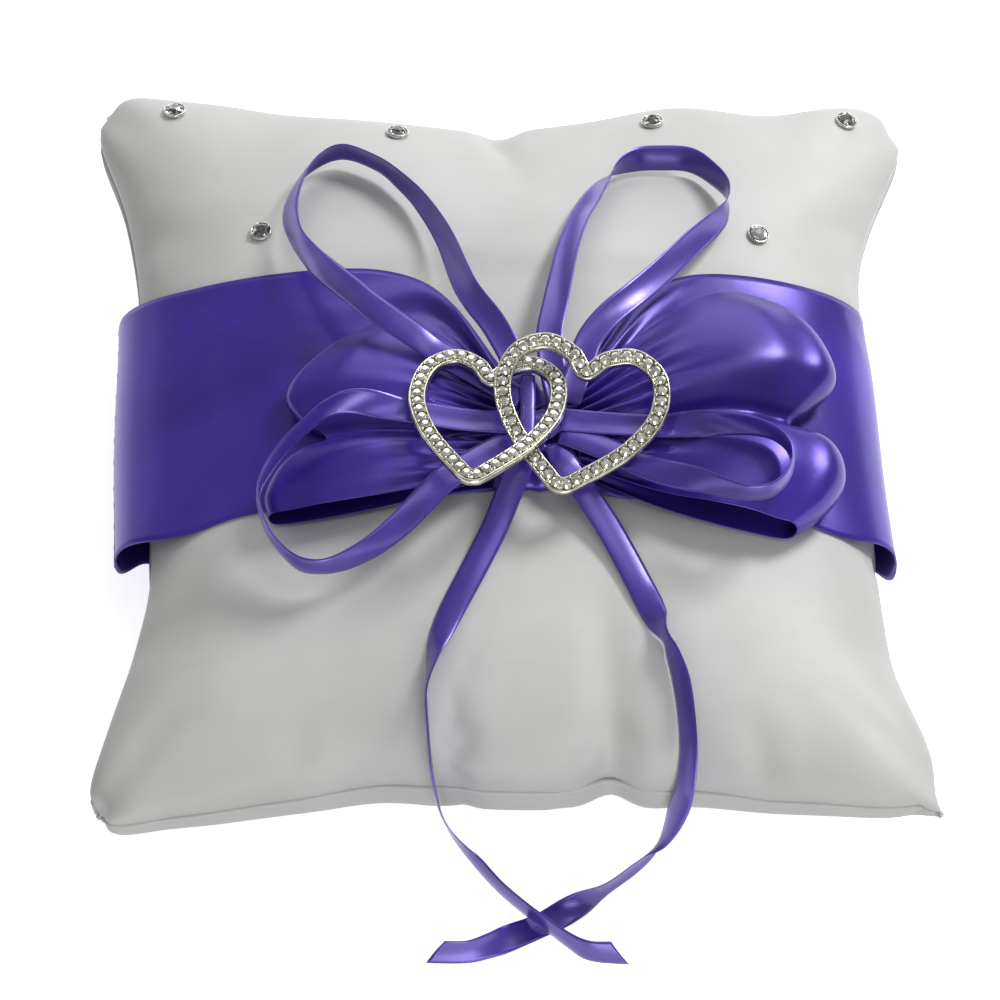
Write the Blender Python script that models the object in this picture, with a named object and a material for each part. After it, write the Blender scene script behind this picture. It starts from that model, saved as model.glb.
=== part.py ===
"""Ring bearer pillow: a square satin pillow with a wide sash, two ribbon bows, a brooch and six stones.

The pillow lies on its back panel, on z = 0, with its centre over the origin, its near edge towards -Y
and its front panel up. Every length here is in millimetres; add_mesh turns them into metres.
"""

import math

import bmesh
import bpy
from mathutils import Matrix, Vector

MM = 0.001
GAP = 0.35  # clearance between pieces that touch
WELD = 0.001

# Pillow
TIP = 100.0  # from the centre to each side, measured at the corner tips
PULL_X = 12.0  # how far the left and right sides pull in at the waist, under the sash
PULL_NEAR = 6.5
PULL_FAR = 3.0
PULL_POWER = 0.75
SEAM_Z = 22.0
SEAM_FAR_LIFT = 3.0  # the seam is this much higher along the far side
FRONT_BULGE = 31.0
BACK_BULGE = 32.0  # before the table flattens it
FULLNESS = 0.40  # exponent of the crown: a lower value is boxier
CORNER_LIFT = {(-1, 1): 4.0, (1, 1): -5.0, (-1, -1): -3.0, (1, -1): 0.0}
PANEL_THICKNESS = 0.5
SEAM_HALF_HEIGHT = 0.6
SEAM_LIP = 0.8  # how far the stitched lip stands out of the sides
SEAM_ROOT = 0.4  # how far it reaches in between the panels
GRID = 14  # cells along each side of a panel

# Sash and wide bow, one width of satin ribbon
SASH_WIDTH = 70.0
SASH_Y = 5.0  # the sash's middle
SASH_THICKNESS = 0.4
SASH_ROWS = 7
SASH_COLUMNS = 34
SASH_GATHER = 13.0  # half the front sash's width where the knot gathers it
SASH_GATHER_REACH = 20.0  # how far from the knot the gathers spread
SASH_SIDE_CLEARANCE = 0.9  # extra room round the seam's lip
SASH_CROWN_CLEARANCE = 0.9  # extra room over the panels' flat facets
POCKET_DEPTH = 1.2  # how far the sash presses into the back panel
POCKET_MARGIN = 12.0
TACK_ROWS = 6
TACK_END = 3.0  # from the sash's edges
TACK_THICKNESS = 0.5
TACK_HALF_HEIGHT = 0.8

# Wide bow and knots
BOW_KNOT_SIZE = (22.0, 26.0, 4.0)
BOW_KNOT_PLACE = (8.0, -14.0, 57.4)
BOW_KNOT_ROUNDING = 1.2
RIBBON_KNOT_SIZE = (7.0, 8.0, 3.0)
RIBBON_KNOT_PLACE = (8.6, -14.0, 61.4)
RIBBON_KNOT_ROUNDING = 0.9
BOW_LOOP_COLUMNS = 3
BOW_LOOP_STEP = 6.0

# Narrow ribbon
RIBBON_WIDTH = 6.4
RIBBON_THICKNESS = 0.4
RIBBON_STEP = 3.6

# Brooch
HEART_Z = 68.0
HEART_BAR_WIDTH = 4.2
HEART_BAR_HEIGHT = 1.8
HEART_BAR_BEVEL = (0.7, 0.3)  # where the bar's bevel starts, as a share of its half width and half height
HEART_TILT = math.radians(11.0)
HEART_PIVOT_Y = -13.5  # the hearts tilt about this line, midway between their two crossings
HEART_STEP = 2.6
BEAD_RADIUS = 1.1
BEAD_NECK = 0.6
BEAD_PITCH = 3.4
BEAD_RINGS = 3
BEAD_SIDES = 6
BEAD_FLATTENING = 0.55
BUCKLE_BAR_SIZE = (3.0, 18.0, 0.8)
BUCKLE_BAR_PLACE = (5.0, -11.0, 63.9)
BUCKLE_BAR_ROUNDING = 0.25

# Cover stones
CUP_RADIUS = 2.75
CUP_WALL = 0.4
CUP_HEIGHT = 1.1
STONE_RADIUS = 1.95
STONE_SIDES = 8
STONE_PROFILE = ((0.4, 0.1), (1.0, 0.8), (1.0, 1.0), (0.58, 1.7))  # share of the radius, and height
STONE_LIFT = 0.55  # cup's foot above the cover, which curves away under it
STONE_PLACES = ((-0.84, 0.95), (-0.28, 0.905), (-0.66, 0.545), (0.375, 0.912), (0.675, 0.54),
                (0.85, 0.965))

SATIN = dict(color=(0.86, 0.85, 0.80), roughness=0.32, metallic=0.0)
FILLING = dict(color=(0.95, 0.95, 0.95), roughness=0.9, metallic=0.0)
PURPLE = dict(color=(0.09, 0.045, 0.42), roughness=0.28, metallic=0.0)
THREAD = dict(color=(0.12, 0.06, 0.45), roughness=0.6, metallic=0.0)
SILVER = dict(color=(0.78, 0.76, 0.66), roughness=0.18, metallic=1.0)
CRYSTAL = dict(color=(0.85, 0.86, 0.88), roughness=0.05, metallic=0.0)

# Outline of a heart one unit wide, tip down, as the centre line of its bar: right half, from tip to cleft
HEART_HALF = ((0.0, -0.52), (0.12, -0.44), (0.36, -0.20), (0.49, 0.06), (0.46, 0.31), (0.29, 0.43),
              (0.11, 0.38), (0.0, 0.27))
# name suffix, centre X and Y, width, length, turn in degrees, tilt direction
HEARTS = (("left", -5.4, -16.0, 34.0, 42.0, -8.0, -1), ("right", 16.8, -14.8, 38.5, 38.0, -12.0, 1))

# Profiles of the bow loops in X and Z, from the knot outwards along the sash and back over the top, and
# the ribbon's half width and middle Y at each point
BOW_RIGHT = ((20.0, 55.6, 12.0, -13.0), (30.0, 55.0, 24.0, -8.0), (44.0, 52.8, 32.0, -4.0),
             (58.0, 49.4, 34.0, -3.0), (70.0, 45.2, 34.0, -2.0), (78.5, 43.0, 34.0, -1.0),
             (81.5, 47.0, 34.0, -1.0), (78.0, 53.5, 34.0, -2.0), (68.0, 60.0, 34.0, -3.0),
             (55.0, 62.8, 33.0, -4.0), (41.0, 61.6, 29.0, -6.0), (30.0, 60.0, 22.0, -10.0),
             (20.0, 59.0, 12.0, -13.0))
BOW_LEFT = ((-4.0, 55.6, 12.0, -13.0), (-14.0, 55.2, 21.0, -9.5), (-26.0, 54.7, 27.0, -7.0),
            (-38.0, 53.3, 29.0, -6.5), (-49.0, 51.2, 29.0, -6.5), (-54.5, 50.3, 29.0, -6.5),
            (-57.0, 53.0, 29.0, -6.5), (-54.0, 57.6, 29.0, -6.5), (-46.0, 60.9, 29.0, -6.5),
            (-35.0, 61.8, 28.0, -7.0), (-24.0, 60.8, 25.0, -8.5), (-14.0, 59.7, 20.0, -10.0),
            (-4.0, 59.0, 12.0, -13.0))
BOW_LEFT_SLANT = (22.0, 4.2)  # the loop's far corner from its near one, in X, and how much higher it is
BOW_RIGHT_SLANT = (-9.0, 4.4)

# Narrow ribbon: points along its middle, each with the direction in which its width lies
UP = (0.0, 0.0, 1.0)
RIBBON_ROUTES = {
    "ribbon_loop_upper_left": (
        ((6.2, -9.0, 60.9), (1, 0, 0)), ((2.6, 2.0, 61.6), (1, 0.2, 0)), ((-3.0, 14.0, 62.6), (1, 0.3, 0.3)),
        ((-9.9, 26.0, 61.6), (0.8, 0, 0.6)), ((-15.4, 44.0, 57.5), (0.55, -0.1, 0.8)),
        ((-21.0, 56.5, 54.6), (0.4, -0.1, 0.9)), ((-26.5, 64.5, 53.0), (0.2, 0, 1)),
        ((-32.2, 70.4, 52.0), UP), ((-40.6, 74.6, 51.0), UP), ((-47.2, 71.0, 51.0), (0.2, 0, 1)),
        ((-51.5, 63.4, 52.0), (0.5, 0, 0.85)),
        ((-53.0, 54.7, 53.5), (0.6, 0, 0.8)), ((-51.2, 45.0, 56.0), (0.4, 0, 0.9)),
        ((-47.4, 37.0, 58.8), (0.5, 0.2, 0.8)), ((-43.9, 31.4, 61.2), (0.6, 0.4, 0.6)),
        ((-37.7, 23.5, 64.2), (0.66, 0.55, 0.45)), ((-31.6, 16.4, 66.0), (0.66, 0.6, 0.3)),
        ((-22.6, 10.0, 64.6), (0.7, 0.65, 0.15)), ((-16.5, 6.0, 63.0), (0.7, 0.65, 0)),
        ((-8.0, 0.4, 62.6), (0.7, 0.7, 0)), ((3.6, -7.8, 62.5), (0.7, 0.7, 0))),
    "ribbon_loop_upper_right": (
        ((13.0, -9.0, 60.9), (1, 0, 0)), ((11.0, 1.5, 61.8), (1, 0, 0)), ((10.2, 12.0, 62.4), (1, 0, 0.1)),
        ((11.8, 22.0, 62.0), (1, 0, 0.15)), ((13.1, 30.4, 61.0), (0.95, 0, 0.3)),
        ((14.8, 40.5, 59.0), (0.9, -0.1, 0.4)), ((17.3, 49.8, 57.0), (0.85, -0.2, 0.5)),
        ((19.8, 56.4, 55.0), (0.8, -0.3, 0.5)), ((22.6, 62.6, 53.6), (0.7, -0.2, 0.65)),
        ((25.8, 67.8, 52.6), (0.45, 0.1, 0.85)), ((31.5, 71.7, 51.6), (0.15, 0.5, 0.8)),
        ((37.7, 72.6, 51.2), (0, 0.6, 0.8)), ((45.1, 72.0, 51.2), (0, 0.6, 0.8)),
        ((50.4, 67.7, 51.6), (0, 0.5, 0.85)), ((54.2, 61.8, 52.6), (0, 0.4, 0.9)),
        ((54.1, 55.3, 54.0), (0, 0.4, 0.9)), ((51.1, 50.0, 55.2), (-0.2, 0.5, 0.8)),
        ((45.6, 42.6, 57.6), (-0.4, 0.55, 0.65)), ((38.1, 31.7, 61.0), (-0.55, 0.6, 0.5)),
        ((31.2, 23.0, 63.6), (-0.65, 0.6, 0.4)), ((24.6, 16.0, 64.4), (-0.7, 0.6, 0.25)),
        ((19.7, 9.0, 63.8), (-0.8, 0.5, 0.1)), ((17.0, 0.0, 62.9), (-0.9, 0.4, 0)),
        ((14.4, -8.0, 62.5), (-0.9, 0.4, 0))),
    "ribbon_loop_lower_left": (
        ((3.4, -17.4, 61.5), (0.4, -1, 0)), ((-4.6, -22.4, 61.6), (0.55, -0.8, 0)),
        ((-10.6, -27.0, 61.8), (0.6, -0.75, -0.1)), ((-16.0, -31.3, 61.8), (0.66, -0.66, -0.35)),
        ((-20.7, -36.5, 60.8), (0.6, -0.6, -0.5)), ((-25.9, -41.8, 59.2), (0.5, -0.5, -0.7)),
        ((-32.1, -46.5, 57.5), (0.3, -0.35, -0.85)), ((-38.5, -49.6, 56.0), (0.1, -0.2, -1)),
        ((-44.0, -51.0, 55.5), (0, 0, -1)), ((-49.2, -50.2, 55.5), (0, 0, -1)),
        ((-53.6, -46.6, 56.2), (0, 0.1, -1)), ((-56.9, -42.0, 57.4), (0, 0.1, -1)),
        ((-58.8, -36.6, 59.0), (0, 0, -1)), ((-59.0, -32.0, 60.6), (0, 0, -1)),
        ((-57.2, -27.8, 62.2), (0, -0.1, -1)), ((-53.0, -22.3, 64.4), (0, -0.1, -1)),
        ((-47.8, -17.6, 66.4), (0, -0.1, -1)), ((-42.8, -13.8, 67.6), (0, -0.25, -1)),
        ((-36.0, -11.4, 67.2), (0, -0.6, -0.8)), ((-24.0, -12.0, 64.4), (0, -1, -0.1)),
        ((-10.0, -13.5, 62.6), (0, -1, 0)), ((3.0, -14.2, 62.5), (0, -1, 0))),
    "ribbon_loop_lower_right": (
        ((13.4, -16.6, 61.5), (0.3, 1, 0)), ((24.0, -22.0, 62.2), (0.4, 1, 0)),
        ((32.4, -26.8, 62.6), (0.35, 0.9, 0.05)), ((39.4, -30.6, 64.4), (0.25, 0.8, 0.4)),
        ((46.0, -33.6, 66.4), (0.1, 0.5, 0.85)), ((51.8, -36.0, 67.0), (0, 0.2, 1)),
        ((57.6, -37.6, 67.0), UP), ((62.6, -36.8, 67.0), UP), ((66.2, -33.4, 67.0), UP),
        ((67.8, -28.6, 67.0), UP), ((66.8, -24.0, 67.2), UP), ((63.4, -20.6, 67.4), UP),
        ((58.0, -18.6, 67.4), (0, 0.2, 1)), ((50.6, -17.4, 66.6), (0, 0.5, 0.85)),
        ((43.0, -16.6, 65.2), (0, 0.9, 0.4)), ((36.0, -16.0, 63.6), (0, 1, 0)),
        ((24.0, -14.6, 62.6), (0, 1, 0)), ((13.0, -13.4, 62.5), (0, 1, 0))),
    "ribbon_tail_left": (
        ((5.4, -19.2, 60.3), (1, 0, 0)), ((3.0, -25.5, 60.3), (1, 0, 0)), ((0.6, -31.0, 58.0), (1, 0, 0)),
        ((-2.8, -38.8, 54.6), (1, -0.3, 0)), ((-7.4, -48.0, 51.8), (1, -0.35, 0)),
        ((-12.4, -58.2, 49.6), (1, -0.4, 0.1)), ((-15.7, -66.2, 48.4), (0.8, -0.3, 0.4)),
        ((-17.6, -72.6, 47.5), (0.4, -0.35, 0.75)), ((-19.0, -80.2, 44.9), (0, -0.56, 0.83)),
        ((-18.6, -87.6, 41.2), (0, -0.6, 0.8)), ((-17.8, -94.4, 35.2), (0, -0.75, 0.65)),
        ((-16.6, -98.0, 28.0), (0.1, -0.95, 0.3)), ((-15.3, -98.9, 21.5), (0.3, -0.95, 0)),
        ((-13.6, -98.9, 15.0), (0.5, -0.85, 0.05)), ((-11.2, -99.6, 9.4), (0.6, -0.7, 0.3)),
        ((-7.6, -102.0, 5.6), (0.45, -0.45, 0.75)), ((-1.4, -109.0, 4.2), (0.1, -0.1, 1)),
        ((4.7, -115.4, 4.8), UP), ((8.5, -118.7, 4.9), UP), ((14.7, -123.4, 4.0), (0, 0.1, 1)),
        ((19.7, -126.0, 3.5), (0, 0.3, 0.95)), ((26.8, -126.4, 3.3), (0, 0.4, 0.9))),
    "ribbon_tail_right": (
        ((11.8, -19.2, 60.3), (1, 0, 0)), ((14.0, -25.0, 60.5), (1, 0.3, 0)),
        ((18.3, -30.8, 58.0), (1, 0.5, 0)), ((23.8, -38.4, 54.4), (1, 0.6, 0)),
        ((28.1, -45.8, 51.8), (1, 0.5, 0)),
        ((32.3, -54.2, 49.8), (1, 0.45, 0.1)), ((35.2, -61.0, 48.8), (0.8, 0, 0.5)),
        ((37.3, -66.4, 48.7), (0.3, -0.45, 0.85)), ((39.2, -70.9, 47.5), (0.5, -0.4, 0.75)),
        ((41.1, -76.6, 45.3), (0.65, -0.4, 0.65)), ((42.3, -83.7, 42.0), (0.65, -0.5, 0.6)),
        ((42.9, -91.2, 37.0), (0.65, -0.6, 0.5)), ((42.2, -96.8, 29.8), (0.65, -0.7, 0.3)),
        ((40.4, -98.4, 21.5), (0.6, -0.8, 0.1)), ((37.8, -99.6, 13.0), (0.1, -1, 0.1)),
        ((34.8, -101.2, 7.6), (-0.5, -0.7, 0.5)), ((30.8, -104.0, 5.2), (-0.4, -0.4, 0.8)),
        ((23.2, -109.6, 4.0), (-0.1, -0.1, 1)), ((15.8, -113.6, 2.7), (-0.35, 0.65, 0.65)),
        ((8.6, -117.0, 0.8), (-0.5, 0.85, 0.05)), ((1.6, -120.8, 1.6), (-0.4, 0.85, 0.3)),
        ((-3.6, -124.0, 2.9), (-0.2, 0.6, 0.75)), ((-9.5, -126.2, 3.3), (0, 0.45, 0.9)),
        ((-17.1, -126.3, 3.3), (0, 0.4, 0.9))),
}


def clear_scene():
    for obj in list(bpy.data.objects):
        bpy.data.objects.remove(obj, do_unlink=True)


def material(name, color, roughness, metallic):
    made = bpy.data.materials.new(name)
    made.use_nodes = True
    shader = made.node_tree.nodes["Principled BSDF"]
    shader.inputs["Base Color"].default_value = (*color, 1.0)
    shader.inputs["Roughness"].default_value = roughness
    shader.inputs["Metallic"].default_value = metallic
    return made


def add_mesh(name, bm, look):
    """Makes a node from a mesh in millimetres."""
    bmesh.ops.scale(bm, vec=(MM, MM, MM), verts=bm.verts)
    mesh = bpy.data.meshes.new(name)
    bm.to_mesh(mesh)
    bm.free()
    mesh.shade_smooth()
    obj = bpy.data.objects.new(name, mesh)
    obj.data.materials.append(material(name, **look))
    bpy.context.scene.collection.objects.link(obj)
    return obj


def add_solid(name, bm, look, place=None):
    """A closed mesh as a node, moved by `place` first."""
    bmesh.ops.recalc_face_normals(bm, faces=bm.faces)
    bm.normal_update()
    if bm.calc_volume(signed=True) < 0:
        bmesh.ops.reverse_faces(bm, faces=bm.faces)
    if place is not None:
        bmesh.ops.transform(bm, matrix=place, verts=bm.verts)
    return add_mesh(name, bm, look)


def add_cloth(name, rows, look, thickness, offset=0.0, side=1):
    """
    A grid of points as a node of even thickness, facing up (side 1) or down (-1).
    Offset 1 puts the thickness outside the grid, and 0 half of it on each side.
    """
    bm = bmesh.new()
    quad_grid(bm, rows)
    bmesh.ops.recalc_face_normals(bm, faces=bm.faces)
    if sum(face.normal.z * face.calc_area() for face in bm.faces) * side < 0:
        bmesh.ops.reverse_faces(bm, faces=bm.faces)
    obj = add_mesh(name, bm, look)
    solid = obj.modifiers.new("thickness", "SOLIDIFY")
    solid.thickness = thickness * MM
    solid.offset = offset


def quad_grid(bm, rows):
    """Faces between rows of points."""
    made = [[bm.verts.new(point) for point in row] for row in rows]
    for first, second in zip(made, made[1:]):
        for i in range(len(first) - 1):
            bm.faces.new((first[i], first[i + 1], second[i + 1], second[i]))


def skin_rings(bm, rings, closed=False):
    """Faces between rings of points, capped at both ends, or joined end to start when closed."""
    made = [[bm.verts.new(point) for point in ring] for ring in rings]
    following = made[1:] + made[:1] if closed else made[1:]
    for first, second in zip(made, following):
        count = len(first)
        for i in range(count):
            j = (i + 1) % count
            bm.faces.new((first[i], first[j], second[j], second[i]))
    if not closed:
        bm.faces.new(made[0])
        bm.faces.new(made[-1])


def smooth_path(points, step, closed=False):
    """Points about `step` apart on a Catmull-Rom curve through rows of numbers that start with a place."""
    count = len(points)
    last = count if closed else count - 1
    path = []
    for i in range(last):
        if closed:
            four = [points[(i + k) % count] for k in (-1, 0, 1, 2)]
        else:
            four = [points[min(max(i + k, 0), count - 1)] for k in (-1, 0, 1, 2)]
        p0, p1, p2, p3 = four
        pieces = max(1, round(math.dist(p1[:3], p2[:3]) / step))
        for k in range(pieces):
            t = k / pieces
            path.append([
                b + 0.5 * ((c - a) * t + (2 * a - 5 * b + 4 * c - d) * t**2 + (3 * b - a - 3 * c + d) * t**3)
                for a, b, c, d in zip(p0, p1, p2, p3)
            ])
    if not closed:
        path.append(list(points[-1]))
    return path


# Pillow

def bulge(u, v):
    return (max(0.0, (1 - u * u) * (1 - v * v))) ** FULLNESS


def half_width(half, v):
    """Half the pillow's size along X, where it pulls in at the waist."""
    return half - PULL_X * max(0.0, 1 - v * v) ** PULL_POWER


def half_depth(half, u, far):
    """The pillow's size along Y, from the centre to its far side or its near side."""
    pull = PULL_FAR if far else PULL_NEAR
    return half - pull * max(0.0, 1 - u * u) ** PULL_POWER


def plan(u, v, inset):
    """Where (u, v) lies on the table, `inset` inside the sides; u and v run -1 to 1."""
    return u * half_width(TIP - inset, v), v * half_depth(TIP - inset, u, v > 0)


def seam_height(u, v):
    lift = CORNER_LIFT[(1 if u > 0 else -1, 1 if v > 0 else -1)]
    return SEAM_Z + SEAM_FAR_LIFT * max(0.0, v) ** 4 + lift * (u * v) ** 4


def panel_point(u, v, side, inset):
    """A point of the front (side 1) or back (-1) panel, `inset` under its outer face."""
    x, y = plan(u, v, inset)
    edge = SEAM_HALF_HEIGHT + GAP - inset / 2
    if side > 0:
        return x, y, seam_height(u, v) + edge + (FRONT_BULGE - inset) * bulge(u, v)
    under_sash = abs(y - SASH_Y) < SASH_WIDTH / 2 + POCKET_MARGIN
    floor = (POCKET_DEPTH if under_sash else 0.0) + inset
    return x, y, max(floor, seam_height(u, v) - edge - (BACK_BULGE - inset) * bulge(u, v))


def spread(count):
    """Values from -1 to 1, closer together near both ends."""
    return [math.sin(math.pi * (i / count - 0.5)) for i in range(count + 1)]


def panel_rows(side, inset):
    return [[panel_point(u, v, side, inset) for u in spread(GRID)] for v in spread(GRID)]


def make_cover(name, side):
    """One panel as a thin shell, open where the other panel meets it."""
    insets = (0.0, PANEL_THICKNESS)
    bm = bmesh.new()
    for inset in insets:
        quad_grid(bm, panel_rows(side, inset))
    close_rim(bm, [[panel_point(u, v, side, inset) for u, v in perimeter()] for inset in insets])
    add_solid(name, bm, SATIN)


def perimeter():
    """The (u, v) of the seam, once round."""
    steps = spread(GRID)
    return ([(u, -1) for u in steps[:-1]] + [(1, v) for v in steps[:-1]]
            + [(u, 1) for u in steps[:0:-1]] + [(-1, v) for v in steps[:0:-1]])


def close_rim(bm, rings):
    """Joins two grids round their edges, which run through the two rings of points."""
    first, second = [[bm.verts.new(point) for point in ring] for ring in rings]
    for i in range(len(first)):
        j = (i + 1) % len(first)
        bm.faces.new((first[i], first[j], second[j], second[i]))
    bmesh.ops.remove_doubles(bm, verts=bm.verts, dist=WELD)


def make_fiberfill():
    inset = PANEL_THICKNESS + 2 * GAP
    bm = bmesh.new()
    quad_grid(bm, panel_rows(1, inset))
    quad_grid(bm, panel_rows(-1, inset))
    close_rim(bm, [[panel_point(u, v, side, inset) for u, v in perimeter()] for side in (1, -1)])
    add_solid("fiberfill", bm, FILLING)


def make_edge_seam():
    """The lip where the two panels are sewn together, once round."""
    bm = bmesh.new()
    rings = []
    for u, v in perimeter():
        ring = []
        for inset, rise in ((SEAM_ROOT, -1), (-SEAM_LIP, -1), (-SEAM_LIP, 1), (SEAM_ROOT, 1)):
            ring.append((*plan(u, v, inset), seam_height(u, v) + rise * SEAM_HALF_HEIGHT))
        rings.append(ring)
    skin_rings(bm, rings, closed=True)
    add_solid("edge_seam", bm, SATIN)


# Sash

def sash_y(u, t, side):
    """Y at the share t of the sash's width, from -1 to 1. The knot gathers the front sash."""
    y = SASH_Y + t * SASH_WIDTH / 2
    if side < 0:
        return y
    knot_x, knot_y, _ = BOW_KNOT_PLACE
    gathered = math.exp(-(((TIP - PULL_X) * u - knot_x) / SASH_GATHER_REACH) ** 2)
    return y + gathered * (knot_y + t * SASH_GATHER - y)


def sash_point(u, t, side):
    """A point of the sash's inner face, which follows the panel at a small distance. u and t run -1 to 1."""
    y = sash_y(u, t, side)
    clearance = GAP + SASH_SIDE_CLEARANCE * abs(u) ** 8
    v = y / half_depth(TIP, u, y > 0)
    x = u * (half_width(TIP, v) + clearance)
    clearance += SASH_CROWN_CLEARANCE
    if side > 0:
        return x, y, seam_height(u, v) + GAP / 2 + (FRONT_BULGE + clearance) * bulge(u, v)
    bottom = seam_height(u, v) - GAP / 2 - (BACK_BULGE + clearance) * bulge(u, v)
    return x, y, max(SASH_THICKNESS, bottom)


def make_sash(name, side):
    rows = [[sash_point(u, 2 * row / SASH_ROWS - 1, side) for u in spread(SASH_COLUMNS)]
            for row in range(SASH_ROWS + 1)]
    add_cloth(name, rows, PURPLE, SASH_THICKNESS, 1, side)


def make_sash_tack(name, side):
    """The row of stitches that joins the two lengths of the sash at one side of the pillow."""
    bm = bmesh.new()
    rings = []
    ends = SASH_WIDTH / 2 - TACK_END
    for row in range(TACK_ROWS + 1):
        y = SASH_Y + ends * (2 * row / TACK_ROWS - 1)
        v = y / TIP
        x = half_width(TIP, v) + GAP + SASH_SIDE_CLEARANCE + SASH_THICKNESS + GAP
        z = seam_height(side, v)
        corners = ((0, -1), (TACK_THICKNESS, -1), (TACK_THICKNESS, 1), (0, 1))
        rings.append([(side * (x + out), y, z + rise * TACK_HALF_HEIGHT) for out, rise in corners])
    skin_rings(bm, rings)
    add_solid(name, bm, THREAD)


# Bows and knots

def rounded_block(name, size, place, look, rounding):
    bm = bmesh.new()
    bmesh.ops.create_cube(bm, size=1.0)
    bmesh.ops.scale(bm, vec=size, verts=bm.verts)
    bmesh.ops.bevel(bm, geom=bm.edges[:], offset=rounding, segments=2, affect="EDGES", profile=0.5)
    add_solid(name, bm, look, Matrix.Translation(place))


def make_bow_loop(name, profile, slant):
    """One loop of wide ribbon, gathered at the knot and open at both edges."""
    start = profile[0][0]
    end = max((row[0] for row in profile), key=lambda x: abs(x - start))
    rows = []
    flat = [(x, z, 0.0, half, middle) for x, z, half, middle in profile]
    for x, z, _, half, middle in smooth_path(flat, BOW_LOOP_STEP):
        shift, rise = [amount * (x - start) / (end - start) for amount in slant]
        shares = [k / BOW_LOOP_COLUMNS for k in range(BOW_LOOP_COLUMNS + 1)]
        rows.append([(x + shift * share, middle + half * (2 * share - 1), z + rise * share)
                     for share in shares])
    add_cloth(name, rows, PURPLE, SASH_THICKNESS)


def make_ribbon(name, route):
    """A length of narrow ribbon along its route, square to it everywhere."""
    path = smooth_path([(*point, *across) for point, across in route], RIBBON_STEP)
    places = [Vector(row[:3]) for row in path]
    rows = []
    for i, row in enumerate(path):
        along = (places[min(i + 1, len(path) - 1)] - places[max(i - 1, 0)]).normalized()
        across = Vector(row[3:])
        across = (across - along * across.dot(along)).normalized() * RIBBON_WIDTH / 2
        rows.append([places[i] - across, places[i] + across])
    add_cloth(name, rows, PURPLE, RIBBON_THICKNESS)


# Brooch

def heart_line(width, length, step):
    """The heart's centre line, closed, as points in a plane."""
    half = [(x * width, y * length, 0.0) for x, y in HEART_HALF]
    other = [(-x, y, z) for x, y, z in half[-2:0:-1]]
    return [Vector(point) for point in smooth_path(half + other, step, closed=True)]


def heart_sides(line):
    """The direction across the bar at each point, in the heart's plane."""
    count = len(line)
    tangents = [(line[(i + 1) % count] - line[i - 1]).normalized() for i in range(count)]
    return [Vector((along.y, -along.x, 0.0)) for along in tangents]


def heart_place(x, y, turn, tilt):
    """The matrix that lays a heart at its place and tilts it, so that it links through the other one."""
    turned_heart = Matrix.Rotation(math.radians(turn), 4, "Z")
    tilted = Matrix.Rotation(tilt * HEART_TILT, 4, "X")
    from_pivot = Matrix.Translation((x, y - HEART_PIVOT_Y, 0.0))
    return Matrix.Translation((0.0, HEART_PIVOT_Y, HEART_Z)) @ tilted @ from_pivot @ turned_heart


def make_heart_frame(name, width, length, place):
    """A bar with bevelled upper edges, bent into a heart."""
    half, height = HEART_BAR_WIDTH / 2, HEART_BAR_HEIGHT / 2
    top, shoulder = HEART_BAR_BEVEL[0] * half, HEART_BAR_BEVEL[1] * height
    section = ((-half, -height), (half, -height), (half, shoulder),
               (top, height), (-top, height), (-half, shoulder))
    line = heart_line(width, length, HEART_STEP)
    up = Vector((0.0, 0.0, 1.0))
    bm = bmesh.new()
    rings = [[point + across * out + up * rise for out, rise in section]
             for point, across in zip(line, heart_sides(line))]
    skin_rings(bm, rings, closed=True)
    add_solid(name, bm, SILVER, place)


def make_heart_stones(name, width, length, place):
    """A chain of round stones joined at their settings, along the top of the bar."""
    line = heart_line(width, length, BEAD_PITCH / BEAD_RINGS)
    line = line[:len(line) - len(line) % BEAD_RINGS]
    up = Vector((0.0, 0.0, 1.0))
    lift = HEART_BAR_HEIGHT / 2 + GAP
    bm = bmesh.new()
    rings = []
    for i, (point, across) in enumerate(zip(line, heart_sides(line))):
        radius = BEAD_RADIUS if i % BEAD_RINGS else BEAD_NECK
        ring = []
        for k in range(BEAD_SIDES):
            angle = 2 * math.pi * k / BEAD_SIDES
            rise = lift + BEAD_FLATTENING * radius * (1 + math.sin(angle))
            ring.append(point + across * (radius * math.cos(angle)) + up * rise)
        rings.append(ring)
    skin_rings(bm, rings, closed=True)
    add_solid(name, bm, CRYSTAL, place)


# Cover stones

def cover_place(u, v, lift):
    """The matrix that stands a piece on the front panel at (u, v), square to it."""
    small = 0.01
    here = Vector(panel_point(u, v, 1, 0.0))
    along_u = Vector(panel_point(u + small, v, 1, 0.0)) - Vector(panel_point(u - small, v, 1, 0.0))
    along_v = Vector(panel_point(u, v + small, 1, 0.0)) - Vector(panel_point(u, v - small, 1, 0.0))
    normal = along_u.cross(along_v).normalized()
    return Matrix.Translation(here + normal * lift) @ normal.to_track_quat("Z", "Y").to_matrix().to_4x4()


def turned(profile, sides):
    """Rings of points for a profile of (radius, height) turned round Z."""
    angles = [2 * math.pi * k / sides for k in range(sides)]
    return [[(r * math.cos(a), r * math.sin(a), z) for a in angles] for r, z in profile]


def make_cover_stone(number, u, v):
    place = cover_place(u, v, STONE_LIFT)
    inner = CUP_RADIUS - CUP_WALL
    wall = ((CUP_RADIUS, 0.0), (CUP_RADIUS, CUP_HEIGHT), (inner, CUP_HEIGHT), (inner, 0.0))
    bm = bmesh.new()
    skin_rings(bm, turned(wall, STONE_SIDES), closed=True)
    add_solid(f"rhinestone_cup_{number}", bm, SILVER, place)
    bm = bmesh.new()
    skin_rings(bm, turned([(share * STONE_RADIUS, z) for share, z in STONE_PROFILE], STONE_SIDES))
    add_solid(f"rhinestone_{number}", bm, CRYSTAL, place)


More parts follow.
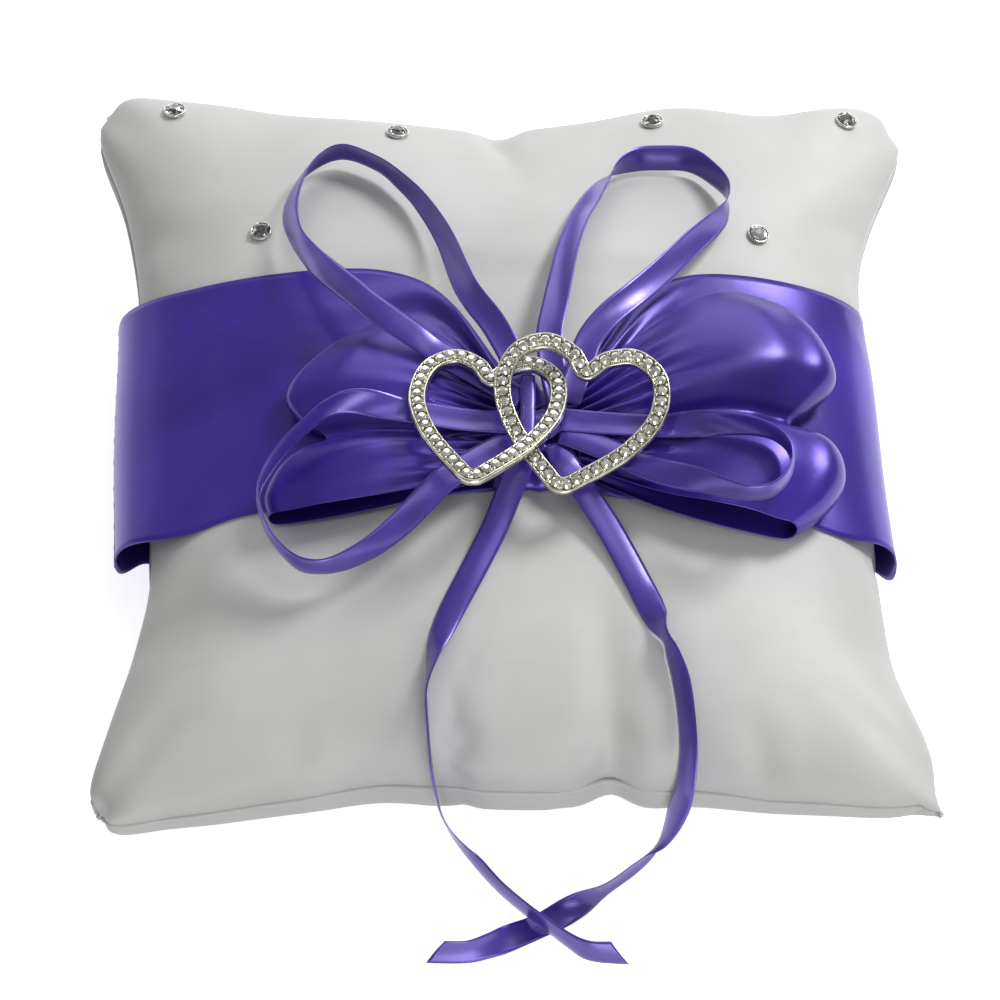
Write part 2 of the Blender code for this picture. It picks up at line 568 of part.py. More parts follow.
def main():
    clear_scene()
    make_fiberfill()
    make_cover("cover_front", 1)
    make_cover("cover_back", -1)
    make_edge_seam()
    make_sash("sash_front", 1)
    make_sash("sash_back", -1)
    make_sash_tack("sash_tack_left", -1)
    make_sash_tack("sash_tack_right", 1)
    make_bow_loop("bow_loop_left", BOW_LEFT, BOW_LEFT_SLANT)
    make_bow_loop("bow_loop_right", BOW_RIGHT, BOW_RIGHT_SLANT)
    rounded_block("bow_knot", BOW_KNOT_SIZE, BOW_KNOT_PLACE, PURPLE, BOW_KNOT_ROUNDING)
    rounded_block("ribbon_knot", RIBBON_KNOT_SIZE, RIBBON_KNOT_PLACE, PURPLE, RIBBON_KNOT_ROUNDING)
    for name, route in RIBBON_ROUTES.items():
        make_ribbon(name, route)
    for suffix, x, y, width, length, turn, tilt in HEARTS:
        place = heart_place(x, y, turn, tilt)
        make_heart_frame(f"heart_frame_{suffix}", width, length, place)
        make_heart_stones(f"heart_stones_{suffix}", width, length, place)
    rounded_block("buckle_bar", BUCKLE_BAR_SIZE, BUCKLE_BAR_PLACE, SILVER, BUCKLE_BAR_ROUNDING)
    for number, (u, v) in enumerate(STONE_PLACES, start=1):
        make_cover_stone(number, u, v)


main()
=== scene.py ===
"""Ring bearer pillow: the finished look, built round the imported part.

Shapes are worked out in millimetres, in the part's own frame, and turned into metres as each mesh is made.
"""

import math

import bmesh
import bpy
import numpy as np
from mathutils import Matrix, Vector
from mathutils.bvhtree import BVHTree


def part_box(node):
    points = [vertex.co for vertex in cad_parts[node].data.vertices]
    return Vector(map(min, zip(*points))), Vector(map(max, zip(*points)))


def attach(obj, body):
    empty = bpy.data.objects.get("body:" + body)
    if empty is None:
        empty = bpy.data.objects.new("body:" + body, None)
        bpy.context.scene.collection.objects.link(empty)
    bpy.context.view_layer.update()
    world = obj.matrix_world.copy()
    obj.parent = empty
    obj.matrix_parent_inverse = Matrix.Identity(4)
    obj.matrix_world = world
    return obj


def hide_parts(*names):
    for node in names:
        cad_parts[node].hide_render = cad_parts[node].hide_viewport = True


MM = 0.001
SEED = 7

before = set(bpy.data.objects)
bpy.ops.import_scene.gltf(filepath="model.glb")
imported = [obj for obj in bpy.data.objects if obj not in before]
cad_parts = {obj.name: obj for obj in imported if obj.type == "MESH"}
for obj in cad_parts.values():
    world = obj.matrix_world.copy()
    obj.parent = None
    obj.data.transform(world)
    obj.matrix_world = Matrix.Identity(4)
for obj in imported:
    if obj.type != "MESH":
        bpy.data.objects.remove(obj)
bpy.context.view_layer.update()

# Camera
CAMERA_TARGET = Vector((-0.0017, -0.008, 0.020))
CAMERA_ELEVATION = math.radians(56.0)
CAMERA_DISTANCE = 2.0
CAMERA_LENS = 295.2  # on a 36 mm sensor

# Pillow, as in the part
TIP = 100.0
PULL_X = 12.0
PULL_NEAR = 6.5
PULL_FAR = 3.0
PULL_POWER = 0.75
SEAM_Z = 22.0
SEAM_FAR_LIFT = 3.0
FRONT_BULGE = 31.0
BACK_BULGE = 32.0
FULLNESS = 0.40
CORNER_LIFT = {(-1, 1): 4.0, (1, 1): -5.0, (-1, -1): -3.0, (1, -1): 0.0}
COVER_CELLS = 96

# Sash, as in the part
SASH_WIDTH = 70.0
SASH_Y = 5.0
SASH_GATHER = 13.0
SASH_GATHER_REACH = 20.0
KNOT_X = 8.0
KNOT_Y = -14.0

# Narrow ribbon: the part's routes. A row is a point on its middle, then the direction of its width
RIBBON_WIDTH = 6.4
RIBBON_ROUTES = {
    "ribbon_loop_upper_left": (
        (6.2, -9, 60.9, 1, 0, 0), (2.6, 2, 61.6, 1, 0.2, 0), (-3, 14, 62.6, 1, 0.3, 0.3),
        (-9.9, 26, 61.6, 0.8, 0, 0.6), (-15.4, 44, 57.5, 0.55, -0.1, 0.8),
        (-21, 56.5, 54.6, 0.4, -0.1, 0.9), (-26.5, 64.5, 53, 0.2, 0, 1), (-32.2, 70.4, 52, 0, 0, 1),
        (-40.6, 74.6, 51, 0, 0, 1), (-47.2, 71, 51, 0.2, 0, 1), (-51.5, 63.4, 52, 0.5, 0, 0.85),
        (-53, 54.7, 53.5, 0.6, 0, 0.8), (-51.2, 45, 56, 0.4, 0, 0.9), (-47.4, 37, 58.8, 0.5, 0.2, 0.8),
        (-43.9, 31.4, 61.2, 0.6, 0.4, 0.6), (-37.7, 23.5, 64.2, 0.66, 0.55, 0.45),
        (-31.6, 16.4, 66, 0.66, 0.6, 0.3), (-22.6, 10, 64.6, 0.7, 0.65, 0.15), (-16.5, 6, 63, 0.7, 0.65, 0),
        (-8, 0.4, 62.6, 0.7, 0.7, 0), (3.6, -7.8, 62.5, 0.7, 0.7, 0)),
    "ribbon_loop_upper_right": (
        (13, -9, 60.9, 1, 0, 0), (11, 1.5, 61.8, 1, 0, 0), (10.2, 12, 62.4, 1, 0, 0.1),
        (11.8, 22, 62, 1, 0, 0.15), (13.1, 30.4, 61, 0.95, 0, 0.3), (14.8, 40.5, 59, 0.9, -0.1, 0.4),
        (17.3, 49.8, 57, 0.85, -0.2, 0.5), (19.8, 56.4, 55, 0.8, -0.3, 0.5),
        (22.6, 62.6, 53.6, 0.7, -0.2, 0.65), (25.8, 67.8, 52.6, 0.45, 0.1, 0.85),
        (31.5, 71.7, 51.6, 0.15, 0.5, 0.8), (37.7, 72.6, 51.2, 0, 0.6, 0.8), (45.1, 72, 51.2, 0, 0.6, 0.8),
        (50.4, 67.7, 51.6, 0, 0.5, 0.85), (54.2, 61.8, 52.6, 0, 0.4, 0.9), (54.1, 55.3, 54, 0, 0.4, 0.9),
        (51.1, 50, 55.2, -0.2, 0.5, 0.8), (45.6, 42.6, 57.6, -0.4, 0.55, 0.65),
        (38.1, 31.7, 61, -0.55, 0.6, 0.5), (31.2, 23, 63.6, -0.65, 0.6, 0.4),
        (24.6, 16, 64.4, -0.7, 0.6, 0.25), (19.7, 9, 63.8, -0.8, 0.5, 0.1), (17, 0, 62.9, -0.9, 0.4, 0),
        (14.4, -8, 62.5, -0.9, 0.4, 0)),
    "ribbon_loop_lower_left": (
        (3.4, -17.4, 61.5, 0.4, -1, 0), (-4.6, -22.4, 61.6, 0.55, -0.8, 0),
        (-10.6, -27, 61.8, 0.6, -0.75, -0.1), (-16, -31.3, 61.8, 0.66, -0.66, -0.35),
        (-20.7, -36.5, 60.8, 0.6, -0.6, -0.5), (-25.9, -41.8, 59.2, 0.5, -0.5, -0.7),
        (-32.1, -46.5, 57.5, 0.3, -0.35, -0.85), (-38.5, -49.6, 56, 0.1, -0.2, -1),
        (-44, -51, 55.5, 0, 0, -1), (-49.2, -50.2, 55.5, 0, 0, -1), (-53.6, -46.6, 56.2, 0, 0.1, -1),
        (-56.9, -42, 57.4, 0, 0.1, -1), (-58.8, -36.6, 59, 0, 0, -1), (-59, -32, 60.6, 0, 0, -1),
        (-57.2, -27.8, 62.2, 0, -0.1, -1), (-53, -22.3, 64.4, 0, -0.1, -1),
        (-47.8, -17.6, 66.4, 0, -0.1, -1), (-42.8, -13.8, 67.6, 0, -0.25, -1),
        (-36, -11.4, 67.2, 0, -0.6, -0.8), (-24, -12, 64.4, 0, -1, -0.1), (-10, -13.5, 62.6, 0, -1, 0),
        (3, -14.2, 62.5, 0, -1, 0)),
    "ribbon_loop_lower_right": (
        (13.4, -16.6, 61.5, 0.3, 1, 0), (24, -22, 62.2, 0.4, 1, 0), (32.4, -26.8, 62.6, 0.35, 0.9, 0.05),
        (39.4, -30.6, 64.4, 0.25, 0.8, 0.4), (46, -33.6, 66.4, 0.1, 0.5, 0.85), (51.8, -36, 67, 0, 0.2, 1),
        (57.6, -37.6, 67, 0, 0, 1), (62.6, -36.8, 67, 0, 0, 1), (66.2, -33.4, 67, 0, 0, 1),
        (67.8, -28.6, 67, 0, 0, 1), (66.8, -24, 67.2, 0, 0, 1), (63.4, -20.6, 67.4, 0, 0, 1),
        (58, -18.6, 67.4, 0, 0.2, 1), (50.6, -17.4, 66.6, 0, 0.5, 0.85), (43, -16.6, 65.2, 0, 0.9, 0.4),
        (36, -16, 63.6, 0, 1, 0), (24, -14.6, 62.6, 0, 1, 0), (13, -13.4, 62.5, 0, 1, 0)),
    "ribbon_tail_left": (
        (5.4, -19.2, 60.3, 1, 0, 0), (3, -25.5, 60.3, 1, 0, 0), (0.6, -31, 58, 1, 0, 0),
        (-2.8, -38.8, 54.6, 1, -0.3, 0), (-7.4, -48, 51.8, 1, -0.35, 0), (-12.4, -58.2, 49.6, 1, -0.4, 0.1),
        (-15.7, -66.2, 48.4, 0.8, -0.3, 0.4), (-17.6, -72.6, 47.5, 0.4, -0.35, 0.75),
        (-19, -80.2, 44.9, 0, -0.56, 0.83), (-18.6, -87.6, 41.2, 0, -0.6, 0.8),
        (-17.8, -94.4, 35.2, 0, -0.75, 0.65), (-16.6, -98, 28, 0.1, -0.95, 0.3),
        (-15.3, -98.9, 21.5, 0.3, -0.95, 0), (-13.6, -98.9, 15, 0.5, -0.85, 0.05),
        (-11.2, -99.6, 9.4, 0.6, -0.7, 0.3), (-7.6, -102, 5.6, 0.45, -0.45, 0.75),
        (-1.4, -109, 4.2, 0.1, -0.1, 1), (4.7, -115.4, 4.8, 0, 0, 1), (8.5, -118.7, 4.9, 0, 0, 1),
        (14.7, -123.4, 4, 0, 0.1, 1), (19.7, -126, 3.5, 0, 0.3, 0.95), (26.8, -126.4, 3.3, 0, 0.4, 0.9)),
    "ribbon_tail_right": (
        (11.8, -19.2, 60.3, 1, 0, 0), (14, -25, 60.5, 1, 0.3, 0), (18.3, -30.8, 58, 1, 0.5, 0),
        (23.8, -38.4, 54.4, 1, 0.6, 0), (28.1, -45.8, 51.8, 1, 0.5, 0), (32.3, -54.2, 49.8, 1, 0.45, 0.1),
        (35.2, -61, 48.8, 0.8, 0, 0.5), (37.3, -66.4, 48.7, 0.3, -0.45, 0.85),
        (39.2, -70.9, 47.5, 0.5, -0.4, 0.75), (41.1, -76.6, 45.3, 0.65, -0.4, 0.65),
        (42.3, -83.7, 42, 0.65, -0.5, 0.6), (42.9, -91.2, 37, 0.65, -0.6, 0.5),
        (42.2, -96.8, 29.8, 0.65, -0.7, 0.3), (40.4, -98.4, 21.5, 0.6, -0.8, 0.1),
        (37.8, -99.6, 13, 0.1, -1, 0.1), (34.8, -101.2, 7.6, -0.5, -0.7, 0.5),
        (30.8, -104, 5.2, -0.4, -0.4, 0.8), (23.2, -109.6, 4, -0.1, -0.1, 1),
        (15.8, -113.6, 2.7, -0.35, 0.65, 0.65), (8.6, -117, 0.8, -0.5, 0.85, 0.05),
        (1.6, -120.8, 1.6, -0.4, 0.85, 0.3), (-3.6, -124, 2.9, -0.2, 0.6, 0.75),
        (-9.5, -126.2, 3.3, 0, 0.45, 0.9), (-17.1, -126.3, 3.3, 0, 0.4, 0.9)),
}

# Brooch, as in the part
HEART_Z = 68.0
HEART_TILT = math.radians(11.0)
HEART_PIVOT_Y = -13.5
# Half of a heart's line, from its tip to its notch, as shares of its width and length
HEART_HALF = ((0.0, -0.52), (0.12, -0.44), (0.36, -0.20), (0.49, 0.06), (0.46, 0.31), (0.29, 0.43),
              (0.11, 0.38), (0.0, 0.27))
# Each heart's place X and Y, width, length, turn in degrees, and the way it tilts
HEARTS = (("left", -5.4, -16.0, 34.0, 42.0, -8.0, -1), ("right", 16.8, -14.8, 38.5, 38.0, -12.0, 1))


# -------- materials

NOISE_ROUGHNESS = 0.55
PLAIN_GLOSS = 0.5
LAVENDER = (0.76, 0.68, 1.0, 1.0)


def set_sockets(found, values):
    for name, value in values.items():
        found.inputs[name].default_value = value


def new_material(name, slot_name, color, roughness, metallic=0.0):
    made = bpy.data.materials.new(name)
    made.use_nodes = True
    shader = made.node_tree.nodes["Principled BSDF"]
    set_sockets(shader, {"Base Color": (*color, 1.0), "Roughness": roughness, "Metallic": metallic})
    made["slot"] = slot_name
    return made, shader


def node(made, kind, sockets=None, **properties):
    """A shader node with some of its sockets and properties set."""
    found = made.node_tree.nodes.new(kind)
    for name, value in properties.items():
        setattr(found, name, value)
    set_sockets(found, sockets or {})
    return found


def link(made, start, end):
    made.node_tree.links.new(start, end)


def scaled_coordinates(made, output, scale=(1.0, 1.0, 1.0)):
    """Texture coordinates times `scale` along each axis."""
    source = node(made, "ShaderNodeTexCoord")
    mapping = node(made, "ShaderNodeMapping", {"Scale": scale})
    link(made, source.outputs[output], mapping.inputs["Vector"])
    return mapping.outputs["Vector"]


def noise_texture(made, vector, scale, detail):
    sockets = {"Scale": scale, "Detail": detail, "Roughness": NOISE_ROUGHNESS}
    found = node(made, "ShaderNodeTexNoise", sockets)
    link(made, vector, found.inputs["Vector"])
    return found.outputs["Fac"]


def color_ramp(made, factor, stops):
    """A ramp between two colours, each given with its place."""
    found = node(made, "ShaderNodeValToRGB")
    for element, (place, color) in zip(found.color_ramp.elements, stops):
        element.position = place
        element.color = (*color, 1.0)
    link(made, factor, found.inputs["Fac"])
    return found.outputs["Color"]


def value_range(made, factor, low, high):
    found = node(made, "ShaderNodeMapRange", {"To Min": low, "To Max": high})
    link(made, factor, found.inputs["Value"])
    return found.outputs["Result"]


def bumps(made, shader, heights):
    """Chains bump nodes: heights is a list of (socket, strength, distance in metres)."""
    normal = None
    for height, strength, distance in heights:
        found = node(made, "ShaderNodeBump", {"Strength": strength, "Distance": distance})
        link(made, height, found.inputs["Height"])
        if normal is not None:
            link(made, normal, found.inputs["Normal"])
        normal = found.outputs["Normal"]
    link(made, normal, shader.inputs["Normal"])


def satin(name, slot_name, dark, light, roughness, thread, sheen, anisotropy, metallic=0.0,
          gloss=PLAIN_GLOSS):
    """Satin: threads `thread` mm wide along the cloth's U, with slubs, creases and a change of tone."""
    made, shader = new_material(name, slot_name, light, roughness, metallic)
    warp = scaled_coordinates(made, "UV", (60.0, 1000.0 / thread, 1.0))
    threads = noise_texture(made, warp, 1.0, 1.0)
    slubs = noise_texture(made, scaled_coordinates(made, "UV", (45.0, 2200.0, 1.0)), 1.0, 1.0)
    slow = noise_texture(made, scaled_coordinates(made, "Object"), 26.0, 3.0)
    creases = noise_texture(made, scaled_coordinates(made, "Object"), 160.0, 4.0)
    tone = node(made, "ShaderNodeMath", {1: 0.16}, operation="MULTIPLY_ADD")
    link(made, slubs, tone.inputs[0])
    link(made, slow, tone.inputs[2])
    link(made, color_ramp(made, tone.outputs[0], ((0.38, dark), (0.78, light))), shader.inputs["Base Color"])
    link(made, value_range(made, slubs, roughness - 0.03, roughness + 0.03), shader.inputs["Roughness"])
    bumps(made, shader, ((creases, 0.10, 0.0008), (threads, 0.25, 0.00004)))
    set_sockets(shader, {
        "Sheen Weight": sheen, "Sheen Roughness": 0.35,
        "Sheen Tint": (*[min(1.0, 0.45 + 0.6 * c) for c in light], 1.0),
        "Specular IOR Level": gloss, "Coat Weight": max(0.0, gloss - PLAIN_GLOSS), "Coat Roughness": 0.34,
        "Anisotropic": anisotropy, "Anisotropic Rotation": 0.25})
    if gloss > PLAIN_GLOSS:
        set_sockets(shader, {"Specular Tint": LAVENDER})
    tangent = node(made, "ShaderNodeTangent", direction_type="UV_MAP")
    link(made, tangent.outputs["Tangent"], shader.inputs["Tangent"])
    return made


def metal(name, slot_name, dark, light, roughness):
    made, shader = new_material(name, slot_name, light, roughness, 1.0)
    place = scaled_coordinates(made, "Object")
    tarnish = noise_texture(made, place, 420.0, 4.0)
    link(made, color_ramp(made, tarnish, ((0.35, dark), (0.65, light))), shader.inputs["Base Color"])
    link(made, value_range(made, tarnish, roughness - 0.06, roughness + 0.10), shader.inputs["Roughness"])
    bumps(made, shader, ((noise_texture(made, place, 1500.0, 2.0), 0.12, 0.00005),))
    return made


def crystal(name, dark, light, roughness):
    """A foil-backed stone: its facets mirror the light and dark about it, and noise patches of lighter and
    darker colour laid over them are painted glints.
    """
    made, shader = new_material(name, "crystal", light, roughness, 0.75)
    # painted glints: small noise patches of lighter and darker colour stand in for the sparkle of the facets
    painted_glints = noise_texture(made, scaled_coordinates(made, "Object"), 900.0, 1.0)
    link(made, color_ramp(made, painted_glints, ((0.40, dark), (0.62, light))), shader.inputs["Base Color"])
    set_sockets(shader, {"Coat Weight": 1.0, "Coat Roughness": 0.02})
    return made


COVER_SATIN = satin("cover_satin", "cover_satin", (0.50, 0.50, 0.49), (0.58, 0.58, 0.57), roughness=0.50,
                    thread=0.30, sheen=0.10, anisotropy=0.3)
RIBBON_SATIN = satin("ribbon_satin", "ribbon_satin", (0.026, 0.010, 0.19), (0.055, 0.024, 0.37),
                     roughness=0.31, thread=0.22, sheen=0.08, anisotropy=0.5, metallic=0.30, gloss=0.70)
NARROW_SATIN = satin("narrow_ribbon_satin", "narrow_ribbon", (0.036, 0.015, 0.24), (0.080, 0.045, 0.41),
                     roughness=0.29, thread=0.18, sheen=0.45, anisotropy=0.4, metallic=0.25, gloss=1.0)
THREAD = satin("thread", "thread", (0.06, 0.03, 0.32), (0.11, 0.06, 0.44), roughness=0.6, thread=0.1,
               sheen=0.3, anisotropy=0.0)
SILVER = metal("warm_silver", "brooch_metal", (0.50, 0.48, 0.38), (0.80, 0.78, 0.68), 0.24)
CUP_METAL = metal("cup_silver", "brooch_metal", (0.45, 0.44, 0.40), (0.80, 0.79, 0.75), 0.22)
HEART_CRYSTAL = crystal("heart_crystal", (0.50, 0.50, 0.42), (0.92, 0.92, 0.84), 0.10)
COVER_CRYSTAL = crystal("cover_crystal", (0.05, 0.05, 0.055), (0.30, 0.30, 0.31), 0.08)
# painted highlight: a pale copy of the cover crystal, for the one stone that shows a bright reflection
GLINT_CRYSTAL = crystal("painted_glint_crystal", (0.45, 0.45, 0.44), (0.80, 0.80, 0.79), 0.10)


# -------- meshes

def put_in_scene(obj):
    bpy.context.scene.collection.objects.link(obj)


def box_of(node_name):
    """The middle and the size of a node's box, in millimetres."""
    low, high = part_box(node_name)
    return np.array((low + high) / 2) / MM, np.array(high - low) / MM


def add_piece(name, points, faces, made, replaced, uv=None, smooth=True):
    """A mesh given in millimetres, as a piece of the object; uv has a (u, v) in metres for each point."""
    mesh = bpy.data.meshes.new(name)
    mesh.from_pydata([tuple(p) for p in np.asarray(points, float) * MM], [], [tuple(f) for f in faces])
    mesh.validate()
    if uv is not None:
        layer = mesh.uv_layers.new(name="UVMap")
        index = np.empty(len(mesh.loops), np.int32)
        mesh.loops.foreach_get("vertex_index", index)
        layer.data.foreach_set("uv", np.asarray(uv, np.float32)[index].ravel())
    if smooth:
        mesh.shade_smooth()
    obj = bpy.data.objects.new(name, mesh)
    mesh.materials.append(made)
    put_in_scene(obj)
    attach(obj, "root")
    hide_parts(*replaced)
    return obj


def subdivide(obj):
    fine = obj.modifiers.new("fine", "SUBSURF")
    fine.levels = 1
    fine.render_levels = 1


def grid_faces(rows, columns, close_rows=False, close_columns=False, start=0):
    """Quads of a grid whose points run along each row in turn; either way may come round again."""
    faces = []
    for i in range(rows if close_rows else rows - 1):
        a, b = start + i * columns, start + (i + 1) % rows * columns
        for j in range(columns if close_columns else columns - 1):
            k = (j + 1) % columns
            faces.append((a + j, a + k, b + k, b + j))
    return faces


def turned_over(faces):
    return [(a, d, c, b) for a, b, c, d in faces]


def capped_rings(rings, sides, start=0):
    """Faces of rings of points that follow each other, closed at both ends."""
    first = tuple(range(start, start + sides))
    last = tuple(range(start + (rings - 1) * sides, start + rings * sides))
    return [*grid_faces(rings, sides, close_columns=True, start=start), first[::-1], last]


def circle(radius, height, sides):
    angles = [2 * math.pi * k / sides for k in range(sides)]
    return [(radius * math.cos(angle), radius * math.sin(angle), height) for angle in angles]


def unit(vectors):
    return vectors / np.linalg.norm(vectors, axis=-1, keepdims=True)


def ring_directions(ring):
    """The direction of a closed line at each of its points."""
    return unit(np.roll(ring, -1, axis=0) - np.roll(ring, 1, axis=0))


def step_lengths(points, axis=0):
    """The distances between neighbours along one axis of a grid or line of points."""
    return np.linalg.norm(np.diff(points, axis=axis), axis=-1)


def cloth_uv(points):
    """Cloth coordinates in metres of a grid of points: along its rows and across them."""
    along = np.zeros(points.shape[:2])
    across = np.zeros(points.shape[:2])
    along[1:] = np.cumsum(step_lengths(points), axis=0)
    across[:, 1:] = np.cumsum(step_lengths(points, axis=1), axis=1)
    return np.dstack((along, across)).reshape(-1, 2) * MM


def add_cloth(name, points, made, replaced, thickness):
    """A grid of points as a strip of cloth of that thickness."""
    rows, columns = points.shape[:2]
    obj = add_piece(name, points.reshape(-1, 3), grid_faces(rows, columns), made, replaced, cloth_uv(points))
    solid = obj.modifiers.new("thickness", "SOLIDIFY")
    solid.thickness = thickness * MM
    solid.offset = 0.0
    return obj


def catmull_rom(p0, p1, p2, p3, t):
    """A place between p1 (t = 0) and p2 (t = 1) on the curve through all four."""
    return p1 + 0.5 * ((p2 - p0) * t + (2 * p0 - 5 * p1 + 4 * p2 - p3) * t**2
                       + (3 * p1 - p0 - 3 * p2 + p3) * t**3)


def smooth_path(points, step):
    """Points about `step` apart on a Catmull-Rom curve through rows of numbers that start with a place."""
    points = np.asarray(points, float)
    count = len(points)
    path = []
    for i in range(count - 1):
        p0, p1, p2, p3 = points[max(i - 1, 0)], points[i], points[i + 1], points[min(i + 2, count - 1)]
        pieces = max(1, round(np.linalg.norm(p2[:3] - p1[:3]) / step))
        path += [catmull_rom(p0, p1, p2, p3, t) for t in np.arange(pieces) / pieces]
    path.append(points[-1])
    return np.array(path)


def spline(values, at):
    """Catmull-Rom through (key, numbers...) rows at the keys `at`."""
    values = np.asarray(values, float)
    keys = values[:, 0]
    found = []
    for key in at:
        i = int(np.clip(np.searchsorted(keys, key) - 1, 0, len(keys) - 2))
        t = (key - keys[i]) / (keys[i + 1] - keys[i])
        around = (values[min(max(i + k, 0), len(keys) - 1), 1:] for k in (-1, 0, 1, 2))
        found.append(catmull_rom(*around, t))
    return np.array(found)


def smooth_step(x):
    x = np.clip(x, 0.0, 1.0)
    return x * x * (3 - 2 * x)


def blurred(values, width):
    """Gaussian blur of a grid along both its axes, mirrored through its edges so that slopes carry on."""
    reach = int(3 * width)
    weights = np.exp(-0.5 * (np.arange(-reach, reach + 1) / width) ** 2)
    weights /= weights.sum()
    for axis in (0, 1):
        moved = np.moveaxis(values, axis, 0)
        first, last = moved[:1], moved[-1:]
        padded = np.concatenate((2 * first - moved[reach:0:-1], moved, 2 * last - moved[-2:-reach - 2:-1]))
        moved = sum(w * padded[k:k + len(moved)] for k, w in enumerate(weights))
        values = np.moveaxis(moved, 0, axis)
    return values


def wobble(x, y, wavelength, seed):
    """A smooth pattern of bumps about -1 to 1, the same each run."""
    rng = np.random.default_rng(seed)
    total = 0.0
    for _ in range(7):
        angle, phase = rng.uniform(0, 2 * math.pi, 2)
        size = wavelength * rng.uniform(0.7, 1.6)
        total = total + np.sin(2 * math.pi * (x * math.cos(angle) + y * math.sin(angle)) / size + phase)
    return total / 3.5


# -------- pillow

COVER_GAP = 0.9  # how far the panels bulge past their solids
SASH_PRESS = 1.1  # how deep the sash presses the front panel in
BACK_LIFT = 1.3  # how far the back panel stays off the table to leave room for the sash
DIAGONAL = 0.7  # share of a move out of a corner that goes along each axis

# Start and end of each soft crease in the front panel, with its depth and its width
FRONT_CREASES = (
    (((25, -93), (22, -46)), 2.4, 4.5), (((62, -96), (56, -76)), 1.3, 3.5),
    (((-52, -97), (-46, -74)), 0.9, 4), (((-5, 100), (-3, 66)), 1.4, 8),
    (((-92, -60), (-66, -50)), 1.2, 5), (((94, -62), (70, -52)), 0.9, 5),
    (((-94, 62), (-72, 54)), 1.3, 5), (((94, 66), (74, 58)), 1.2, 5),
    (((-101, -101), (-70, -72)), 1.5, 3.5), (((102, -100), (72, -70)), 1.3, 3.5),
    (((101, 101), (78, 78)), 1.5, 3.5), (((-103, 101), (-80, 80)), 1.5, 3.5))

# Where the front panel rises or dips along its far side: X, how high, and half width
FAR_LOBES = ((-76, 3.6, 24), (-4, -2.6, 26), (50, 2.8, 22), (86, 1.4, 14))
# Where the far and near edges bulge out or draw in: X, how far along Y, and half width
FAR_EDGE = ((-80, 3, 20), (-40, 1, 16), (42, 3.2, 17), (82, 5, 14))
NEAR_EDGE = ((-76, -2.6, 20), (-30, 2.4, 13), (25, 5.5, 5), (45, 1.5, 12), (98, 2.2, 8))
# Where the left and right edges do so: Y, how far out along X, and half width
LEFT_EDGE = ((-38, -3.6, 24), (88, 2.6, 16), (-80, 1, 10))
RIGHT_EDGE = ((58, -4.6, 24), (-84, 4.6, 16))
# Each corner's side along X and Y, how far its tip stands out or is rounded off, and how full it is behind
CORNERS = ((-1, 1, -2.6, 2.9), (1, 1, -3.6, 2.1), (-1, -1, -4.6, 2.6), (1, -1, 1.6, 0.6))


def bulge(u, v):
    return np.maximum(0.0, (1 - u * u) * (1 - v * v)) ** FULLNESS


def half_width(v):
    return TIP - PULL_X * np.maximum(0.0, 1 - v * v) ** PULL_POWER


def half_depth(u, far):
    return TIP - np.where(far, PULL_FAR, PULL_NEAR) * np.maximum(0.0, 1 - u * u) ** PULL_POWER


def seam_height(u, v):
    lift = sum(amount * (u * sx > 0) * (v * sy > 0) for (sx, sy), amount in CORNER_LIFT.items())
    return SEAM_Z + SEAM_FAR_LIFT * np.maximum(0.0, v) ** 4 + lift * (u * v) ** 4


def panel_height(u, v, side):
    """The height of the front (side 1) or back panel before its creases."""
    height = FRONT_BULGE if side > 0 else BACK_BULGE
    return seam_height(u, v) + side * (height + COVER_GAP) * bulge(u, v)


def crease(x, y, line, width):
    """1 on a crease from line[0] to line[1], fading across it and towards its end."""
    (x0, y0), (x1, y1) = line
    length = math.hypot(x1 - x0, y1 - y0)
    along = ((x - x0) * (x1 - x0) + (y - y0) * (y1 - y0)) / length
    across = ((x - x0) * (y1 - y0) - (y - y0) * (x1 - x0)) / length
    fade = smooth_step((along + width) / width) * smooth_step((length - along) / (0.7 * length))
    return np.exp(-(across / width) ** 2) * fade


def bulges(place, shifts):
    return sum(amount * np.exp(-((place - middle) / reach) ** 2) for middle, amount, reach in shifts)


def front_relief(z, u, v, x, y):
    """The front panel's height with its far lobes, the press of the sash, creases and slow waves."""
    rim = 1 - (1 - u * u) * (1 - v * v)
    z = z + np.exp(-((v - 0.93) / 0.30) ** 2) * bulges(x, FAR_LOBES)
    under_sash = smooth_step((40 - np.abs(y - SASH_Y)) / 9)
    z = z - SASH_PRESS * under_sash * (1 - rim**4)
    for line, depth, width in FRONT_CREASES:
        z = z - depth * crease(x, y, line, width)
    return z + 0.45 * wobble(x, y, 60.0, SEED) * (1 - rim**6)


def shifted_outline(x, y, u, v):
    """The panels' places with their edges and corners moved in or out."""
    sideways = smooth_step((u - 0.6) / 0.4) * bulges(y, RIGHT_EDGE)
    sideways = sideways - smooth_step((-u - 0.6) / 0.4) * bulges(y, LEFT_EDGE)
    for shifts, sign in ((FAR_EDGE, 1), (NEAR_EDGE, -1)):
        y = y + smooth_step((v * sign - 0.80) / 0.20) * bulges(x, shifts)
    x = x + sideways
    for sx, sy, out, lobe in CORNERS:
        gap = np.hypot(sx * u - 1, sy * v - 1) * TIP
        shift = out * np.exp(-(gap / 4.5) ** 2) + lobe * np.exp(-((gap - 10) / 7) ** 2)
        x = x + sx * shift * DIAGONAL
        y = y + sy * shift * DIAGONAL
    return x, y


def pillow_form(a, b, side):
    """The form of a panel without its wrinkles: a and b run -1 to 1 over the flat cloth."""
    u, v = np.sin(math.pi / 2 * a), np.sin(math.pi / 2 * b)
    x = u * half_width(v)
    y = v * half_depth(u, v > 0)
    z = panel_height(u, v, side)
    if side > 0:
        z = front_relief(z, u, v, x, y)
    else:
        z = np.maximum(0.0, z)
        z = np.maximum(z, BACK_LIFT * smooth_step((44 - np.abs(y - SASH_Y)) / 8))
    return np.dstack((*shifted_outline(x, y, u, v), z))


